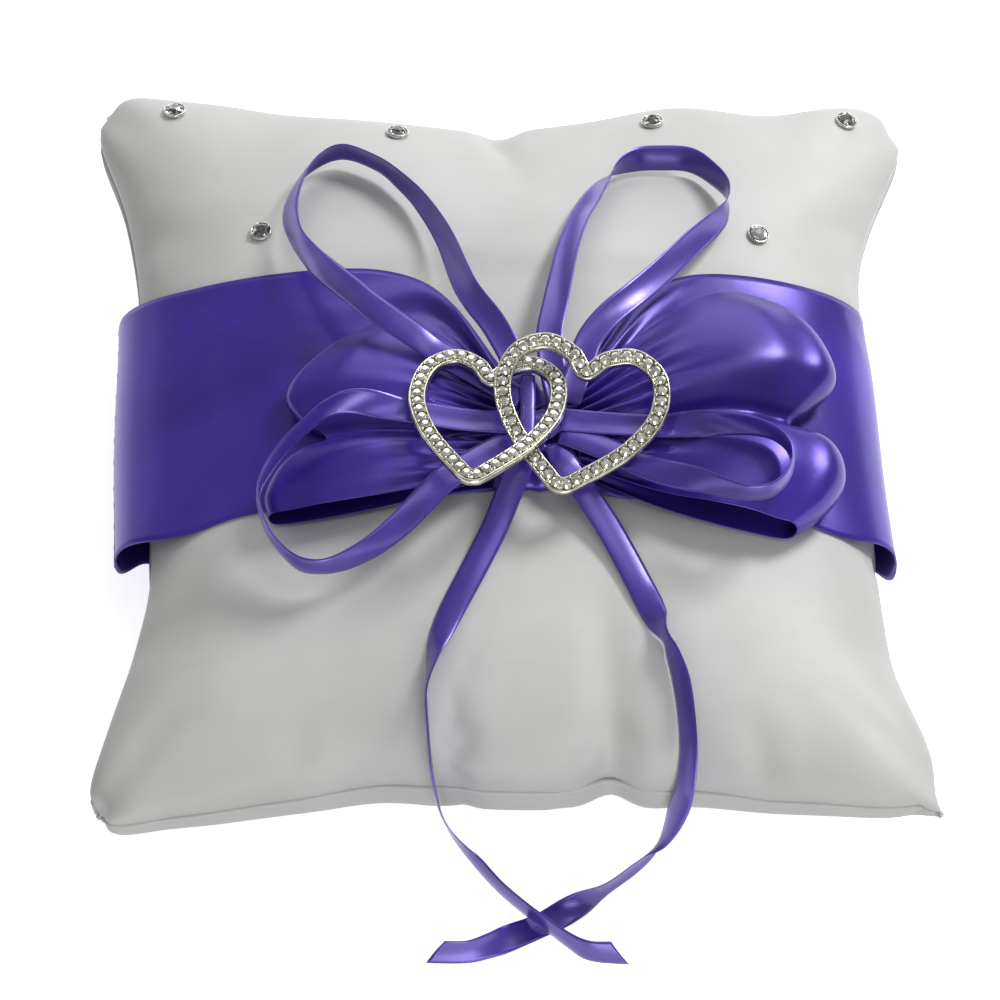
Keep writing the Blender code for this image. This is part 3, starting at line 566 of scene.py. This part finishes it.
def cover_grid():
    """Indexes of the front and back panels' points, which share their edges, and the faces of both."""
    n = COVER_CELLS + 1
    front = np.arange(n * n).reshape(n, n)
    back = front.copy()
    back[1:-1, 1:-1] = n * n + np.arange((n - 2) ** 2).reshape(n - 2, n - 2)
    faces = []
    for i in range(n - 1):
        for j in range(n - 1):
            faces.append((front[i, j], front[i, j + 1], front[i + 1, j + 1], front[i + 1, j]))
            faces.append((back[i, j], back[i + 1, j], back[i + 1, j + 1], back[i, j + 1]))
    return front, back, faces


def joined(front, back, on_front, on_back):
    """Rows of numbers for the cover's points, from its two grids; the front's hold on the rim."""
    rows = np.zeros((back.max() + 1, on_front.shape[2]))
    for index, grid in ((back, on_back), (front, on_front)):
        rows[index.ravel()] = grid.reshape(-1, grid.shape[2])
    return rows


SIM_SCALE = 0.01  # the simulation runs on a cover two units wide
SIM_FRAMES = 26
CLOTH = {"quality": 6, "mass": 0.12, "air_damping": 2.0, "tension_stiffness": 25.0,
         "compression_stiffness": 12.0, "shear_stiffness": 6.0, "bending_stiffness": 0.03,
         "use_pressure": True, "uniform_pressure_force": 7.0, "shrink_min": 0.02}


def inflate(flat, faces):
    """Blows up the flat cover by a cloth simulation and returns where its points end."""
    mesh = bpy.data.meshes.new("inflated")
    mesh.from_pydata([tuple(p) for p in flat * SIM_SCALE], [], [tuple(int(i) for i in f) for f in faces])
    obj = bpy.data.objects.new("inflated", mesh)
    put_in_scene(obj)
    cloth = obj.modifiers.new("cloth", "CLOTH")
    for name, value in CLOTH.items():
        setattr(cloth.settings, name, value)
    cloth.settings.effector_weights.gravity = 0.0
    cloth.collision_settings.use_collision = False
    cloth.point_cache.frame_start = 1
    cloth.point_cache.frame_end = SIM_FRAMES
    for step in range(1, SIM_FRAMES + 1):
        bpy.context.scene.frame_set(step)
    evaluated = obj.evaluated_get(bpy.context.evaluated_depsgraph_get())
    places = np.empty(len(evaluated.data.vertices) * 3, np.float32)
    evaluated.data.vertices.foreach_get("co", places)
    bpy.data.objects.remove(obj, do_unlink=True)
    bpy.data.meshes.remove(mesh)
    bpy.context.scene.frame_set(1)
    return places.reshape(-1, 3).astype(float) / SIM_SCALE


WRINKLE_LIMIT = 2.6
BACK_WRINKLES = 0.8  # share of their simulated depth


def wrinkles(places, index):
    """The wrinkles of a simulated panel alone, without its overall form."""
    grid = places[index]
    fine = grid - blurred(grid, 7.0)
    size = np.linalg.norm(fine, axis=2, keepdims=True)
    return fine * WRINKLE_LIMIT / (WRINKLE_LIMIT + size)


def add_wrinkles(forms, front, back, faces, a, b):
    """Adds the wrinkles that two nearly flat panels get as they are blown up."""
    puff = 3.0 * (1 - a**2) * (1 - b**2) + 0.15 * wobble(a, b, 0.5, SEED + 1)
    flat = joined(front, back, np.dstack((a * TIP, b * TIP, puff)), np.dstack((a * TIP, b * TIP, -puff)))
    places = inflate(flat, faces)
    forms[1] = forms[1] + wrinkles(places, front)
    forms[-1] = forms[-1] + wrinkles(places, back) * BACK_WRINKLES
    forms[-1][..., 2] = np.maximum(forms[-1][..., 2], 0.0)


def make_pillow():
    """The cover and its seam's line: two panels sewn together, with simulated wrinkles."""
    front, back, faces = cover_grid()
    steps = np.linspace(-1, 1, COVER_CELLS + 1)
    b, a = np.meshgrid(steps, steps, indexing="ij")
    forms = {1: pillow_form(a, b, 1), -1: pillow_form(a, b, -1)}
    add_wrinkles(forms, front, back, faces, a, b)
    points = joined(front, back, forms[1], forms[-1])
    rim = (np.abs(a) == 1) | (np.abs(b) == 1)
    points[front[rim]] = ((forms[1] + forms[-1]) / 2)[rim]
    flat = np.dstack((a, b))
    obj = add_piece("pillow_cover", points, faces, COVER_SATIN,
                    ("fiberfill", "cover_front", "cover_back"), joined(front, back, flat, flat) * TIP * MM)
    subdivide(obj)
    return obj, points[np.concatenate((front[0, :-1], front[:-1, -1], front[-1, :0:-1], front[:0:-1, 0]))]


SEAM_SIDES = 10
SEAM_OUT = 0.75
SEAM_RISE = 0.62
SEAM_SHIFT = 0.15  # how far the lip's middle stands outside the cover's edge
SEAM_STITCH = 2.6  # from one stitch to the next
SEAM_PINCH = 0.18


def make_seam(ring):
    """The stitched lip round the cover's edge."""
    for _ in range(2):
        ring = (np.roll(ring, 1, axis=0) + 2 * ring + np.roll(ring, -1, axis=0)) / 4
    up = np.array([0.0, 0.0, 1.0])
    out = unit(np.cross(ring_directions(ring), up))
    out *= np.where(((ring - SEAM_Z * up) * out).sum(axis=1, keepdims=True) < 0, -1, 1)
    arc = np.cumsum(step_lengths(np.vstack((ring, ring[:1]))))
    pinch = 1 + SEAM_PINCH * np.sin(2 * math.pi * arc / SEAM_STITCH)
    section = []
    for across, rise, _ in circle(1.0, 0.0, SEAM_SIDES):
        reach = (SEAM_OUT * across + SEAM_SHIFT) * pinch
        section.append(ring + out * reach[:, None] + up * (SEAM_RISE * rise * pinch)[:, None])
    points = np.stack(section, axis=1)
    faces = turned_over(grid_faces(len(ring), SEAM_SIDES, close_rows=True, close_columns=True))
    round_lip = np.tile(np.arange(SEAM_SIDES) * 0.4, (len(ring), 1))
    uv = np.dstack((np.repeat(arc[:, None], SEAM_SIDES, axis=1), round_lip)) * MM
    add_piece("pillow_seam", points.reshape(-1, 3), faces, COVER_SATIN, ("edge_seam",), uv.reshape(-1, 2))


def surface_of(obj):
    """A search tree of an object's final surface, in millimetres."""
    evaluated = obj.evaluated_get(bpy.context.evaluated_depsgraph_get())
    points = [(evaluated.matrix_world @ v.co) / MM for v in evaluated.data.vertices]
    return BVHTree.FromPolygons(points, [list(p.vertices) for p in evaluated.data.polygons])


def push_out(points, surface, clearance):
    """Moves points that are nearer than `clearance` to the surface, or behind it, to that distance."""
    moved = points.copy()
    for i, point in enumerate(points):
        here, normal, _, _ = surface.find_nearest(Vector(point))
        gap = (Vector(point) - here).dot(normal)
        if gap < clearance:
            moved[i] += np.array(normal) * (clearance - gap)
    return moved


# -------- sash

SASH_ROWS = 44
SASH_COLUMNS = 210
SASH_THICKNESS = 0.35
SASH_CLEARANCE = 0.5
SASH_LOWEST = 0.25  # the back length's middle over the table
LEFT_STAND_OFF = 7.0  # how far the sash stands off the pillow at its left side
RIGHT_STAND_OFF = 4.6  # and at the near part of its right side
STITCHES = 22
STITCH_RINGS = 7
STITCH_SIDES = 6
STITCH_RADIUS = 0.10


def sash_height(side, u, v, t, x, gathered):
    """The height of a length of the sash; the front one has folds that run into the knot."""
    if side < 0:
        lifted = 3.0 * smooth_step((-u - 0.88) / 0.08) * (0.5 - 0.5 * t)
        return np.maximum(0.4, panel_height(u, v, side)) + lifted
    wide = np.exp(-((x - KNOT_X) / 34) ** 2)
    folds = 1 + np.cos(2 * math.pi * (2.6 * t + 0.4 * np.sin(x / 9.0)))
    return panel_height(u, v, side) + 1.1 * wide * folds * (1 - 0.3 * t * t) + 0.5 * gathered


def near_edge_shift(side, u):
    """How far a length's near edge draws back at the pillow's sides."""
    u = np.abs(u)
    if side < 0:
        return 9.0 * smooth_step((u - 0.6) / 0.3) - 8.0 * smooth_step((u - 0.94) / 0.06)
    return smooth_step((u - 0.88) / 0.12) - 2.0 * np.exp(-((u - 0.86) / 0.1) ** 2)


def sash_form(side):
    """The sash's front (side 1) or back length as a grid: along the sash, then across it."""
    u = np.sin(np.linspace(-math.pi / 2, math.pi / 2, SASH_COLUMNS))[:, None]
    t = np.linspace(-1, 1, SASH_ROWS)[None, :]
    gathered = np.exp(-(((TIP - PULL_X) * u - KNOT_X) / SASH_GATHER_REACH) ** 2) * (side > 0)
    y = SASH_Y + t * SASH_WIDTH / 2
    y = y + gathered * (KNOT_Y + t * SASH_GATHER - y)
    v = y / half_depth(u, y > 0)
    x = u * (half_width(v) + 0.35 + 0.5 * np.abs(u) ** 8)
    z = sash_height(side, u, v, t, x, gathered)
    y = y + near_edge_shift(side, u) * np.maximum(0.0, -t)
    reach = 0.28 if side > 0 else 0.12
    off_left = smooth_step((-u - 1 + reach) / reach) * (0.85 + 0.15 * np.cos(2.2 * t))
    off_right = smooth_step((u - 1 + 1.6 * reach) / (1.6 * reach)) * (0.5 - 0.5 * t)
    x = x - LEFT_STAND_OFF * off_left
    x = x + smooth_step((u - 0.6) / 0.4) * bulges(y, RIGHT_EDGE) + RIGHT_STAND_OFF * off_right
    edge_wave = np.abs(t) ** 6 * np.sin(x / 13.0 + 2 * t) * (1 - np.abs(u) ** 6)
    z = z + 0.5 * edge_wave * (side > 0)
    return np.stack(np.broadcast_arrays(x, y, z), axis=2)


def make_sash(surface):
    """Two lengths of wide ribbon round the pillow, sewn together at its sides."""
    grids = {}
    for side, name in ((1, "sash_front"), (-1, "sash_back")):
        grid = sash_form(side)
        shift = push_out(grid.reshape(-1, 3), surface, SASH_CLEARANCE).reshape(grid.shape) - grid
        soft = blurred(shift, 2.0)
        grid = grid + np.maximum(np.abs(shift), np.abs(soft)) * np.sign(shift + soft)
        if side < 0:
            grid[..., 2] = np.maximum(grid[..., 2], SASH_LOWEST)
        obj = add_cloth(name + "_ribbon", grid, RIBBON_SATIN, (name,), SASH_THICKNESS)
        grids[side] = grid
    for side, name, end in ((-1, "left", 0), (1, "right", -1)):
        make_stitches(name, (grids[1][end] + grids[-1][end]) / 2, side)


def make_stitches(name, line, side):
    """Short oversewn stitches that join the sash's two lengths down one side."""
    points, faces, uv = [], [], []
    for k in range(STITCHES):
        x, y, z = line[int((k + 0.5) / STITCHES * len(line))]
        slant = 0.5 if k % 2 else -0.5
        faces += capped_rings(STITCH_RINGS, STITCH_SIDES, len(points))
        for i, s in enumerate(np.linspace(-1, 1, STITCH_RINGS)):
            rise = 0.10 + 0.12 * (1 - s * s)
            centre = np.array([x + side * rise, y + slant * s, z + 0.9 * s])
            points += [centre + place for place in circle(STITCH_RADIUS, 0.0, STITCH_SIDES)]
            uv += [(i * 0.4 * MM, m * 0.2 * MM) for m in range(STITCH_SIDES)]
    add_piece("sash_stitches_" + name, points, faces, THREAD, ("sash_tack_" + name,), uv)


# -------- wide bow

# Spokes of each loop from its near edge (-1) to its far edge (1):
# share across the ribbon, rim X and Y, and how far the upper layer stands above or below its middle line
LOOP_RIGHT = ((-1, 70, -37, -3), (-0.8, 76, -31, -0.4), (-0.54, 79.5, -22.5, 1),
              (-0.3, 77.5, -13.5, 0.2), (-0.1, 70, -7, -6), (0.08, 73, -2.5, -2.5),
              (0.34, 78, 5.5, 1.2), (0.62, 76, 15, 1.2), (0.84, 71.5, 23, -0.6),
              (1, 65, 28.5, -3.5))
LOOP_LEFT = ((-1, -56.5, -35, -3), (-0.8, -57, -30, -0.6), (-0.55, -54, -23, 0.8),
             (-0.34, -49.5, -17.5, -0.4), (-0.16, -44.5, -12.5, -5), (0, -49.5, -8.5, -2.2),
             (0.25, -52.5, -2.5, 0.8), (0.5, -50, 4.5, 0.8), (0.76, -43, 13, -0.6),
             (1, -33.5, 20, -3))
KNOT_EDGE = {1: 17.0, -1: -1.0}
# The upper layer's middle line: share of the way from the knot to the rim, and height
LOOP_TOP = {1: ((0.0, 59.2), (0.25, 60.6), (0.45, 61.8), (0.65, 62.4), (0.85, 60.6), (1.0, 56.6)),
            -1: ((0.0, 59.2), (0.3, 60.6), (0.55, 61.4), (0.8, 60.2), (1.0, 57.2))}
RIM_TURN = {1: 4.0, -1: 1.8}  # how far the ribbon's turn reaches past the end of both layers
LOOP_FAN = 1.8  # how quickly a loop spreads beside the knot
KNOT_HALF = 11.0
BOW_THICKNESS = 0.3
SASH_FOLDS = 1.6  # room for the sash's folds under the bow


def sash_top(x, y):
    """The height of the sash's outer face at a place."""
    u = np.clip(x / half_width(y / TIP), -1, 1)
    v = np.clip(y / half_depth(u, y > 0), -1, 1)
    return panel_height(u, v, 1) + SASH_FOLDS


def loop_grid(spokes, side):
    """One loop: rows run from the knot out under the loop, round its rim and back over the top."""
    shares = np.linspace(-1, 1, 97)
    out = np.linspace(0, 1, 40)
    top_line = spline(LOOP_TOP[side], out)[:, 0]
    gather = np.exp(-(out / 0.28) ** 2)
    columns = []
    for t, (rim_x, rim_y, lobe) in zip(shares, spline(spokes, shares)):
        x = KNOT_EDGE[side] + (rim_x - RIM_TURN[side] * side - KNOT_EDGE[side]) * out
        start = KNOT_Y + KNOT_HALF * t
        y = start + (rim_y - start) * (1 - (1 - out) ** LOOP_FAN)
        pleat = np.cos(2 * math.pi * (5.0 * t + 0.3 * out)) * gather
        lower = sash_top(x, y) + 0.6 + 0.7 * (gather + pleat)
        upper = top_line + lobe * smooth_step(out / 0.55) * (1 - 0.25 * out) + 1.5 * pleat
        upper = np.maximum(upper, lower + 1.0)
        middle, half = (lower[-1] + upper[-1]) / 2, (upper[-1] - lower[-1]) / 2
        rows = list(zip(x, y, lower))
        for angle in np.linspace(-math.pi / 2, math.pi / 2, 13)[1:-1]:
            beyond = side * half * 0.8 * math.cos(angle)
            rows.append((x[-1] + beyond, y[-1], middle + half * math.sin(angle)))
        rows += list(zip(x, y, upper))[::-1]
        columns.append(rows)
    return np.array(columns).transpose(1, 0, 2)


def relaxed(grid):
    """Evens out a grid of cloth a little, holding its two ends."""
    for _ in range(2):
        even = grid.copy()
        even[1:-1] = (grid[:-2] + grid[2:] + 2 * grid[1:-1]) / 4
        even[:, 1:-1] = (even[:, :-2] + even[:, 2:] + 2 * even[:, 1:-1]) / 4
        even[:2] = grid[:2]
        even[-2:] = grid[-2:]
        grid = even
    return grid


def make_bow():
    for name, spokes, side in (("bow_loop_right", LOOP_RIGHT, 1), ("bow_loop_left", LOOP_LEFT, -1)):
        grid = relaxed(loop_grid(spokes, side))
        obj = add_cloth(name + "_ribbon", grid, RIBBON_SATIN, (name,), BOW_THICKNESS)
        subdivide(obj)


def make_bow_knot():
    """The short length of ribbon that wraps the bow's middle, pleated along its length."""
    centre, size = box_of("bow_knot")
    rows = []
    for angle in np.linspace(-0.12 * math.pi, 1.12 * math.pi, 40):
        row = []
        for s in np.linspace(-1, 1, 45):
            waist = 1 - 0.10 * math.sin(angle) * (1 - s * s)
            pleat = 0.55 * math.cos(2 * math.pi * (2.4 * s + 0.12 * math.sin(2 * angle)))
            y = centre[1] + math.cos(angle) * (size[1] / 2 + 1.0 + 0.3 * pleat) * waist
            rise = size[2] + 0.9 + pleat * (1 - s**6)
            z = centre[2] - size[2] / 2 - 0.6 + math.sin(angle) * rise * (1 - 0.35 * s**4)
            row.append((centre[0] + s * (size[0] / 2 + 0.3), y, z))
        rows.append(row)
    grid = np.array(rows)
    obj = add_cloth("bow_knot_wrap", grid, RIBBON_SATIN, ("bow_knot",), BOW_THICKNESS)


# -------- narrow ribbon

RIBBON_ACROSS = 9
RIBBON_STEP = 1.2
RIBBON_CROWN = 0.55
RIBBON_THICKNESS = 0.22
RIBBON_CLEARANCE = 0.5
TAIL_SLANT = 4.5  # how much longer one edge of a tail's end is than the other
ABOVE_ALL = 200.0
OVER_PILLOW = 8.0  # a tail that is lower lies beside the pillow, not on it


def lift_off(grid, surface):
    """How far each row of a ribbon has to rise to clear the surface, eased off along it."""
    lift = np.zeros(len(grid))
    for i, row in enumerate(grid):
        for x, y, z in row:
            hit, _, _, _ = surface.ray_cast(Vector((x, y, ABOVE_ALL)), Vector((0, 0, -1)))
            if hit is not None and z > OVER_PILLOW:
                lift[i] = max(lift[i], hit.z + RIBBON_CLEARANCE - z)
    for _ in range(12):
        lift[1:-1] = np.maximum(lift[1:-1], (lift[:-2] + lift[2:]) / 2)
    return lift


def ribbon_grid(route, surface):
    """A ribbon along its route as a grid, and the places of its middle line."""
    path = smooth_path(route, RIBBON_STEP)
    places, across = path[:, :3], path[:, 3:]
    along = unit(np.gradient(places, axis=0))
    across = unit(across - along * (across * along).sum(axis=1, keepdims=True))
    facing = np.cross(along, across)
    s = np.linspace(-1, 1, RIBBON_ACROSS)[None, :, None]
    grid = places[:, None] + across[:, None] * s * RIBBON_WIDTH / 2
    grid = grid + facing[:, None] * RIBBON_CROWN * (1 - s * s)
    lift = lift_off(grid, surface)
    grid[..., 2] += lift[:, None]
    return grid, places + np.outer(lift, (0, 0, 1))


def cut_end(grid):
    """A ribbon whose end is cut at a slant: one edge longer and the other shorter by half of it."""
    ahead = unit(grid[-1] - grid[-2])
    near_end = smooth_step((np.arange(len(grid)) - len(grid) + 9) / 8)[:, None, None]
    share = np.linspace(0.5, -0.5, RIBBON_ACROSS)[None, :, None]
    return grid + ahead[None] * near_end * share * TAIL_SLANT


def make_narrow_ribbons(surface):
    for name, route in RIBBON_ROUTES.items():
        grid, places = ribbon_grid(route, surface)
        if "tail" in name:
            grid = cut_end(grid)
        obj = add_cloth("narrow_" + name, grid, NARROW_SATIN, (name,), RIBBON_THICKNESS)


def wrapping(node_name, turns, columns, offset):
    """A tube of ribbon wound round a node: `offset` gives a point from its angle, its share and the size."""
    centre, size = box_of(node_name)
    angles = np.linspace(0, 2 * math.pi, turns, endpoint=False)
    return np.array([[centre + offset(angle, s, size / 2) for s in np.linspace(-1, 1, columns)]
                     for angle in angles])


def knot_offset(angle, s, half):
    plump = (1 - 0.28 * s**4) * (1 + 0.05 * math.cos(9 * s + 1.0))
    return half * (s, math.cos(angle) * plump, math.sin(angle) * plump) + (0.5 * math.sin(angle), 0, 0)


def bar_offset(angle, s, half):
    turn = 1 + 0.05 * abs(math.sin(1.5 * math.pi * s))
    return (half + (0.25, 0.2, 0.22)) * (math.cos(angle) * turn, s, math.sin(angle) * turn)


def make_ribbon_knot():
    """The narrow bow's own knot, a turn of ribbon pulled tight over the middle, and the bar's wrapping."""
    points, faces, uv = [], [], []
    for grid in (wrapping("ribbon_knot", 40, 15, knot_offset), wrapping("buckle_bar", 32, 49, bar_offset)):
        rows, columns = grid.shape[:2]
        start = len(points)
        points += list(grid.reshape(-1, 3))
        faces += grid_faces(rows, columns, close_rows=True, start=start)
        faces.append(tuple(start + i * columns for i in range(rows)))
        faces.append(tuple(start + i * columns + columns - 1 for i in range(rows))[::-1])
        uv += list(cloth_uv(grid))
    add_piece("narrow_ribbon_knot", points, faces, NARROW_SATIN, ("ribbon_knot",), uv)


# -------- stones

BEAD_RADIUS = 0.42
GEM_SIDES = 8


def gem(radius, table, crown, depth):
    """Points and faces of a cut stone: table, crown facets, girdle and pavilion, its girdle on z = 0."""
    points = circle(table * radius, crown, GEM_SIDES) + circle(radius, 0.0, 2 * GEM_SIDES)
    tip = len(points)
    points.append((0.0, 0.0, -depth))
    faces = [tuple(range(GEM_SIDES))]
    for k in range(GEM_SIDES):
        a, b = k, (k + 1) % GEM_SIDES
        g0, g1, g2 = GEM_SIDES + 2 * k, GEM_SIDES + 2 * k + 1, GEM_SIDES + (2 * k + 2) % (2 * GEM_SIDES)
        faces += [(a, g0, g1), (a, g1, b), (b, g1, g2), (g0, tip, g1), (g1, tip, g2)]
    return points, faces


def add_ball(points, faces, centre, matrix):
    """Adds a small ball to lists of points and faces."""
    bm = bmesh.new()
    bmesh.ops.create_icosphere(bm, subdivisions=2, radius=BEAD_RADIUS)
    faces += [tuple(len(points) + v.index for v in face.verts) for face in bm.faces]
    points += [tuple(matrix @ (vert.co + Vector(centre))) for vert in bm.verts]
    bm.free()


# -------- brooch

HEART_STEP = 0.55
HEART_GEM_RADIUS = 1.25
HEART_GEM_PITCH = 2.72
HEART_GEM_RISE = 1.35
HEART_BEAD_OUT = 1.25
# The bar's section, out from its middle and up: a channel with rounded walls
CHANNEL = ((-1.75, -0.9), (1.75, -0.9), (2.05, -0.6), (2.1, 0.5), (1.95, 1.05), (1.7, 1.2), (1.45, 1.0),
           (1.3, 0.5), (-1.3, 0.5), (-1.45, 1.0), (-1.7, 1.2), (-1.95, 1.05), (-2.1, 0.5), (-2.05, -0.6))


def heart_line(width, length):
    """A heart's line as one closed turn of points, flat on z = 0."""
    half = [(x * width, y * length, 0.0) for x, y in HEART_HALF]
    ring = half + [(-x, y, z) for x, y, z in half[-2:0:-1]]
    path = smooth_path([ring[-1], *ring, ring[0], ring[1]], HEART_STEP)
    away = np.linalg.norm(path - np.array(ring[0]), axis=1)
    middle = len(path) // 2
    return path[int(np.argmin(away[:len(path) // 3])):middle + int(np.argmin(away[middle:]))]


def evenly(line, pitch):
    """Points on a closed line at an even pitch near the one given, and the direction of the line at each."""
    closed = np.vstack((line, line[:1]))
    arc = np.concatenate(([0.0], np.cumsum(step_lengths(closed))))
    count = round(arc[-1] / pitch)
    at = (np.arange(count) + 0.5) * arc[-1] / count
    points, ahead = (np.stack([np.interp(where, arc, closed[:, k]) for k in range(3)], axis=1)
                     for where in (at, (at + 0.3) % arc[-1]))
    return points, unit(ahead - points)


def heart_place(x, y, turn, tilt):
    turned_heart = Matrix.Rotation(math.radians(turn), 4, "Z")
    tilted = Matrix.Rotation(tilt * HEART_TILT, 4, "X")
    from_pivot = Matrix.Translation((x, y - HEART_PIVOT_Y, 0.0))
    return Matrix.Translation((0.0, HEART_PIVOT_Y, HEART_Z)) @ tilted @ from_pivot @ turned_heart


def heart_bar(line, place):
    """Points and faces of a heart's bar, the channel carried round its line."""
    points = []
    for point, direction in zip(line, ring_directions(line)):
        across = np.array([direction[1], -direction[0], 0.0])
        points += [tuple(place @ Vector(point + across * out + np.array([0, 0, up]))) for out, up in CHANNEL]
    return points, turned_over(grid_faces(len(line), len(CHANNEL), close_rows=True, close_columns=True))


def add_beads(points, faces, seats, directions, place):
    """Adds the two beads between each stone of a heart and the next."""
    for seat, after, direction in zip(seats, np.roll(seats, -1, axis=0), directions):
        across = np.array([direction[1], -direction[0], 0.0])
        for sign in (-1, 1):
            bead = (seat + after) / 2 + across * sign * HEART_BEAD_OUT + np.array([0, 0, HEART_GEM_RISE])
            add_ball(points, faces, bead, place)


def heart_crystals(seats, directions, place):
    """Points and faces of the stones in a heart's channel."""
    shape, shape_faces = gem(HEART_GEM_RADIUS, table=0.55, crown=0.62, depth=0.7)
    points, faces = [], []
    for seat, direction in zip(seats, directions):
        turned_gem = Matrix.Rotation(math.atan2(direction[1], direction[0]), 4, "Z")
        spot = place @ Matrix.Translation(Vector(seat) + Vector((0, 0, HEART_GEM_RISE))) @ turned_gem
        faces += [tuple(len(points) + i for i in face) for face in shape_faces]
        points += [tuple(spot @ Vector(p)) for p in shape]
    return points, faces


def make_hearts():
    for suffix, x, y, width, length, turn, tilt in HEARTS:
        place = heart_place(x, y, turn, tilt)
        line = heart_line(width, length)
        seats, directions = evenly(line, HEART_GEM_PITCH)
        points, faces = heart_bar(line, place)
        add_beads(points, faces, seats, directions, place)
        add_piece(f"heart_{suffix}_setting", points, faces, SILVER, (f"heart_frame_{suffix}",))
        add_piece(f"heart_{suffix}_crystals", *heart_crystals(seats, directions, place), HEART_CRYSTAL,
                  (f"heart_stones_{suffix}",), smooth=False)


# -------- cover stones

# the stone whose crystal is painted pale, a painted highlight standing in for its reflection
GLINTING_STONE = 5
CUP_SIDES = 32
# A cup's section, from its foot over its rim to its floor: how far out, and how high
CUP_PROFILE = ((1.6, -0.5), (2.3, -0.2), (2.65, 0.15), (2.75, 0.7), (2.7, 1.0), (2.5, 1.08), (2.32, 1.0),
               (2.25, 0.6), (0.4, 0.5))
CLAWS = 4
CLAW_OUT = 2.15
CLAW_RISE = 1.25
COVER_GEM_RISE = 1.12


def make_cover_stones(surface):
    for number in range(1, 7):
        here, normal, _, _ = surface.find_nearest(Vector(box_of(f"rhinestone_cup_{number}")[0]))
        place = Matrix.Translation(here) @ normal.to_track_quat("Z", "Y").to_matrix().to_4x4()
        points = [tuple(place @ Vector(p)) for out, up in CUP_PROFILE for p in circle(out, up, CUP_SIDES)]
        faces = capped_rings(len(CUP_PROFILE), CUP_SIDES)
        for x, y, z in circle(CLAW_OUT, CLAW_RISE, CLAWS):
            claw = Matrix.Rotation(math.pi / CLAWS, 3, "Z") @ Vector((x, y, z))
            add_ball(points, faces, claw, place)
        add_piece(f"cover_stone_cup_{number}", points, faces, CUP_METAL, (f"rhinestone_cup_{number}",))
        shape, shape_faces = gem(2.1, table=0.56, crown=0.75, depth=0.45)
        spot = place @ Matrix.Translation((0, 0, COVER_GEM_RISE)) @ Matrix.Rotation(0.3 * number, 4, "Z")
        # the one stone with the painted highlight gets the pale copy of the crystal
        made = GLINT_CRYSTAL if number == GLINTING_STONE else COVER_CRYSTAL
        add_piece(f"cover_stone_{number}", [tuple(spot @ Vector(p)) for p in shape], shape_faces, made,
                  (f"rhinestone_{number}",), smooth=False)


# -------- stage

FLOOR_HALF = 3.0
FLOOR_GLOW = 0.72
WORLD_LIGHT = 0.33
WHITE = (1.0, 1.0, 1.0, 1.0)
LIGHT_TARGET = Vector((0.0, 0.0, 0.03))
# Each light's place, diameter and power
LIGHTS = {"key": ((0.62, 0.52, 0.85), 0.34, 8.8), "front": ((0.20, -1.25, 0.28), 0.8, 7.5),
          "back": ((0.08, 1.00, 0.64), 0.9, 4.0), "top": ((0.25, -0.10, 1.30), 0.6, 1.5),
          "left": ((-0.90, 0.65, 0.25), 0.6, 0.6)}


def add_light(name, place, size, energy):
    data = bpy.data.lights.new(name, "AREA")
    data.shape = "DISK"
    data.size = size
    data.energy = energy
    obj = bpy.data.objects.new(name, data)
    obj.location = place
    obj.rotation_euler = (LIGHT_TARGET - Vector(place)).to_track_quat("-Z", "Y").to_euler()
    put_in_scene(obj)
    return obj


def make_stage():
    """A white floor that gives off some light, so that its shadows stay faint, a pale sky and lights."""
    mesh = bpy.data.meshes.new("floor")
    corners = [(x * FLOOR_HALF, y * FLOOR_HALF, 0.0) for x, y in ((-1, -1), (1, -1), (1, 1), (-1, 1))]
    mesh.from_pydata(corners, [], [(0, 1, 2, 3)])
    floor = bpy.data.objects.new("floor", mesh)
    made, shader = new_material("floor", "floor", (0.88, 0.88, 0.88), 0.9)
    set_sockets(shader, {"Emission Color": WHITE, "Emission Strength": FLOOR_GLOW})
    mesh.materials.append(made)
    put_in_scene(floor)
    floor.visible_diffuse = False
    world = bpy.data.worlds.new("studio")
    world.use_nodes = True
    set_sockets(world.node_tree.nodes["Background"], {"Color": WHITE, "Strength": WORLD_LIGHT})
    bpy.context.scene.world = world
    bpy.context.scene.view_settings.view_transform = "Standard"
    for name, (place, size, energy) in LIGHTS.items():
        light = add_light(name, place, size, energy)
        light.visible_diffuse = name != "left"  # the left light shows only in the gloss


def make_camera():
    data = bpy.data.cameras.new("camera")
    data.sensor_width = 36.0
    data.lens = CAMERA_LENS
    data.clip_end = 20.0
    camera = bpy.data.objects.new("camera", data)
    back = Vector((0.0, -math.cos(CAMERA_ELEVATION), math.sin(CAMERA_ELEVATION)))
    camera.location = CAMERA_TARGET + back * CAMERA_DISTANCE
    camera.rotation_euler = back.to_track_quat("Z", "Y").to_euler()
    put_in_scene(camera)
    bpy.context.scene.camera = camera


def make_all():
    make_camera()
    make_stage()
    pillow, ring = make_pillow()
    make_seam(ring)
    bpy.context.view_layer.update()
    surface = surface_of(pillow)
    make_sash(surface)
    make_bow()
    make_bow_knot()
    make_narrow_ribbons(surface)
    make_ribbon_knot()
    make_hearts()
    make_cover_stones(surface)
    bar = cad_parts["buckle_bar"]
    bar.data.materials.clear()
    bar.data.materials.append(SILVER)


make_all()
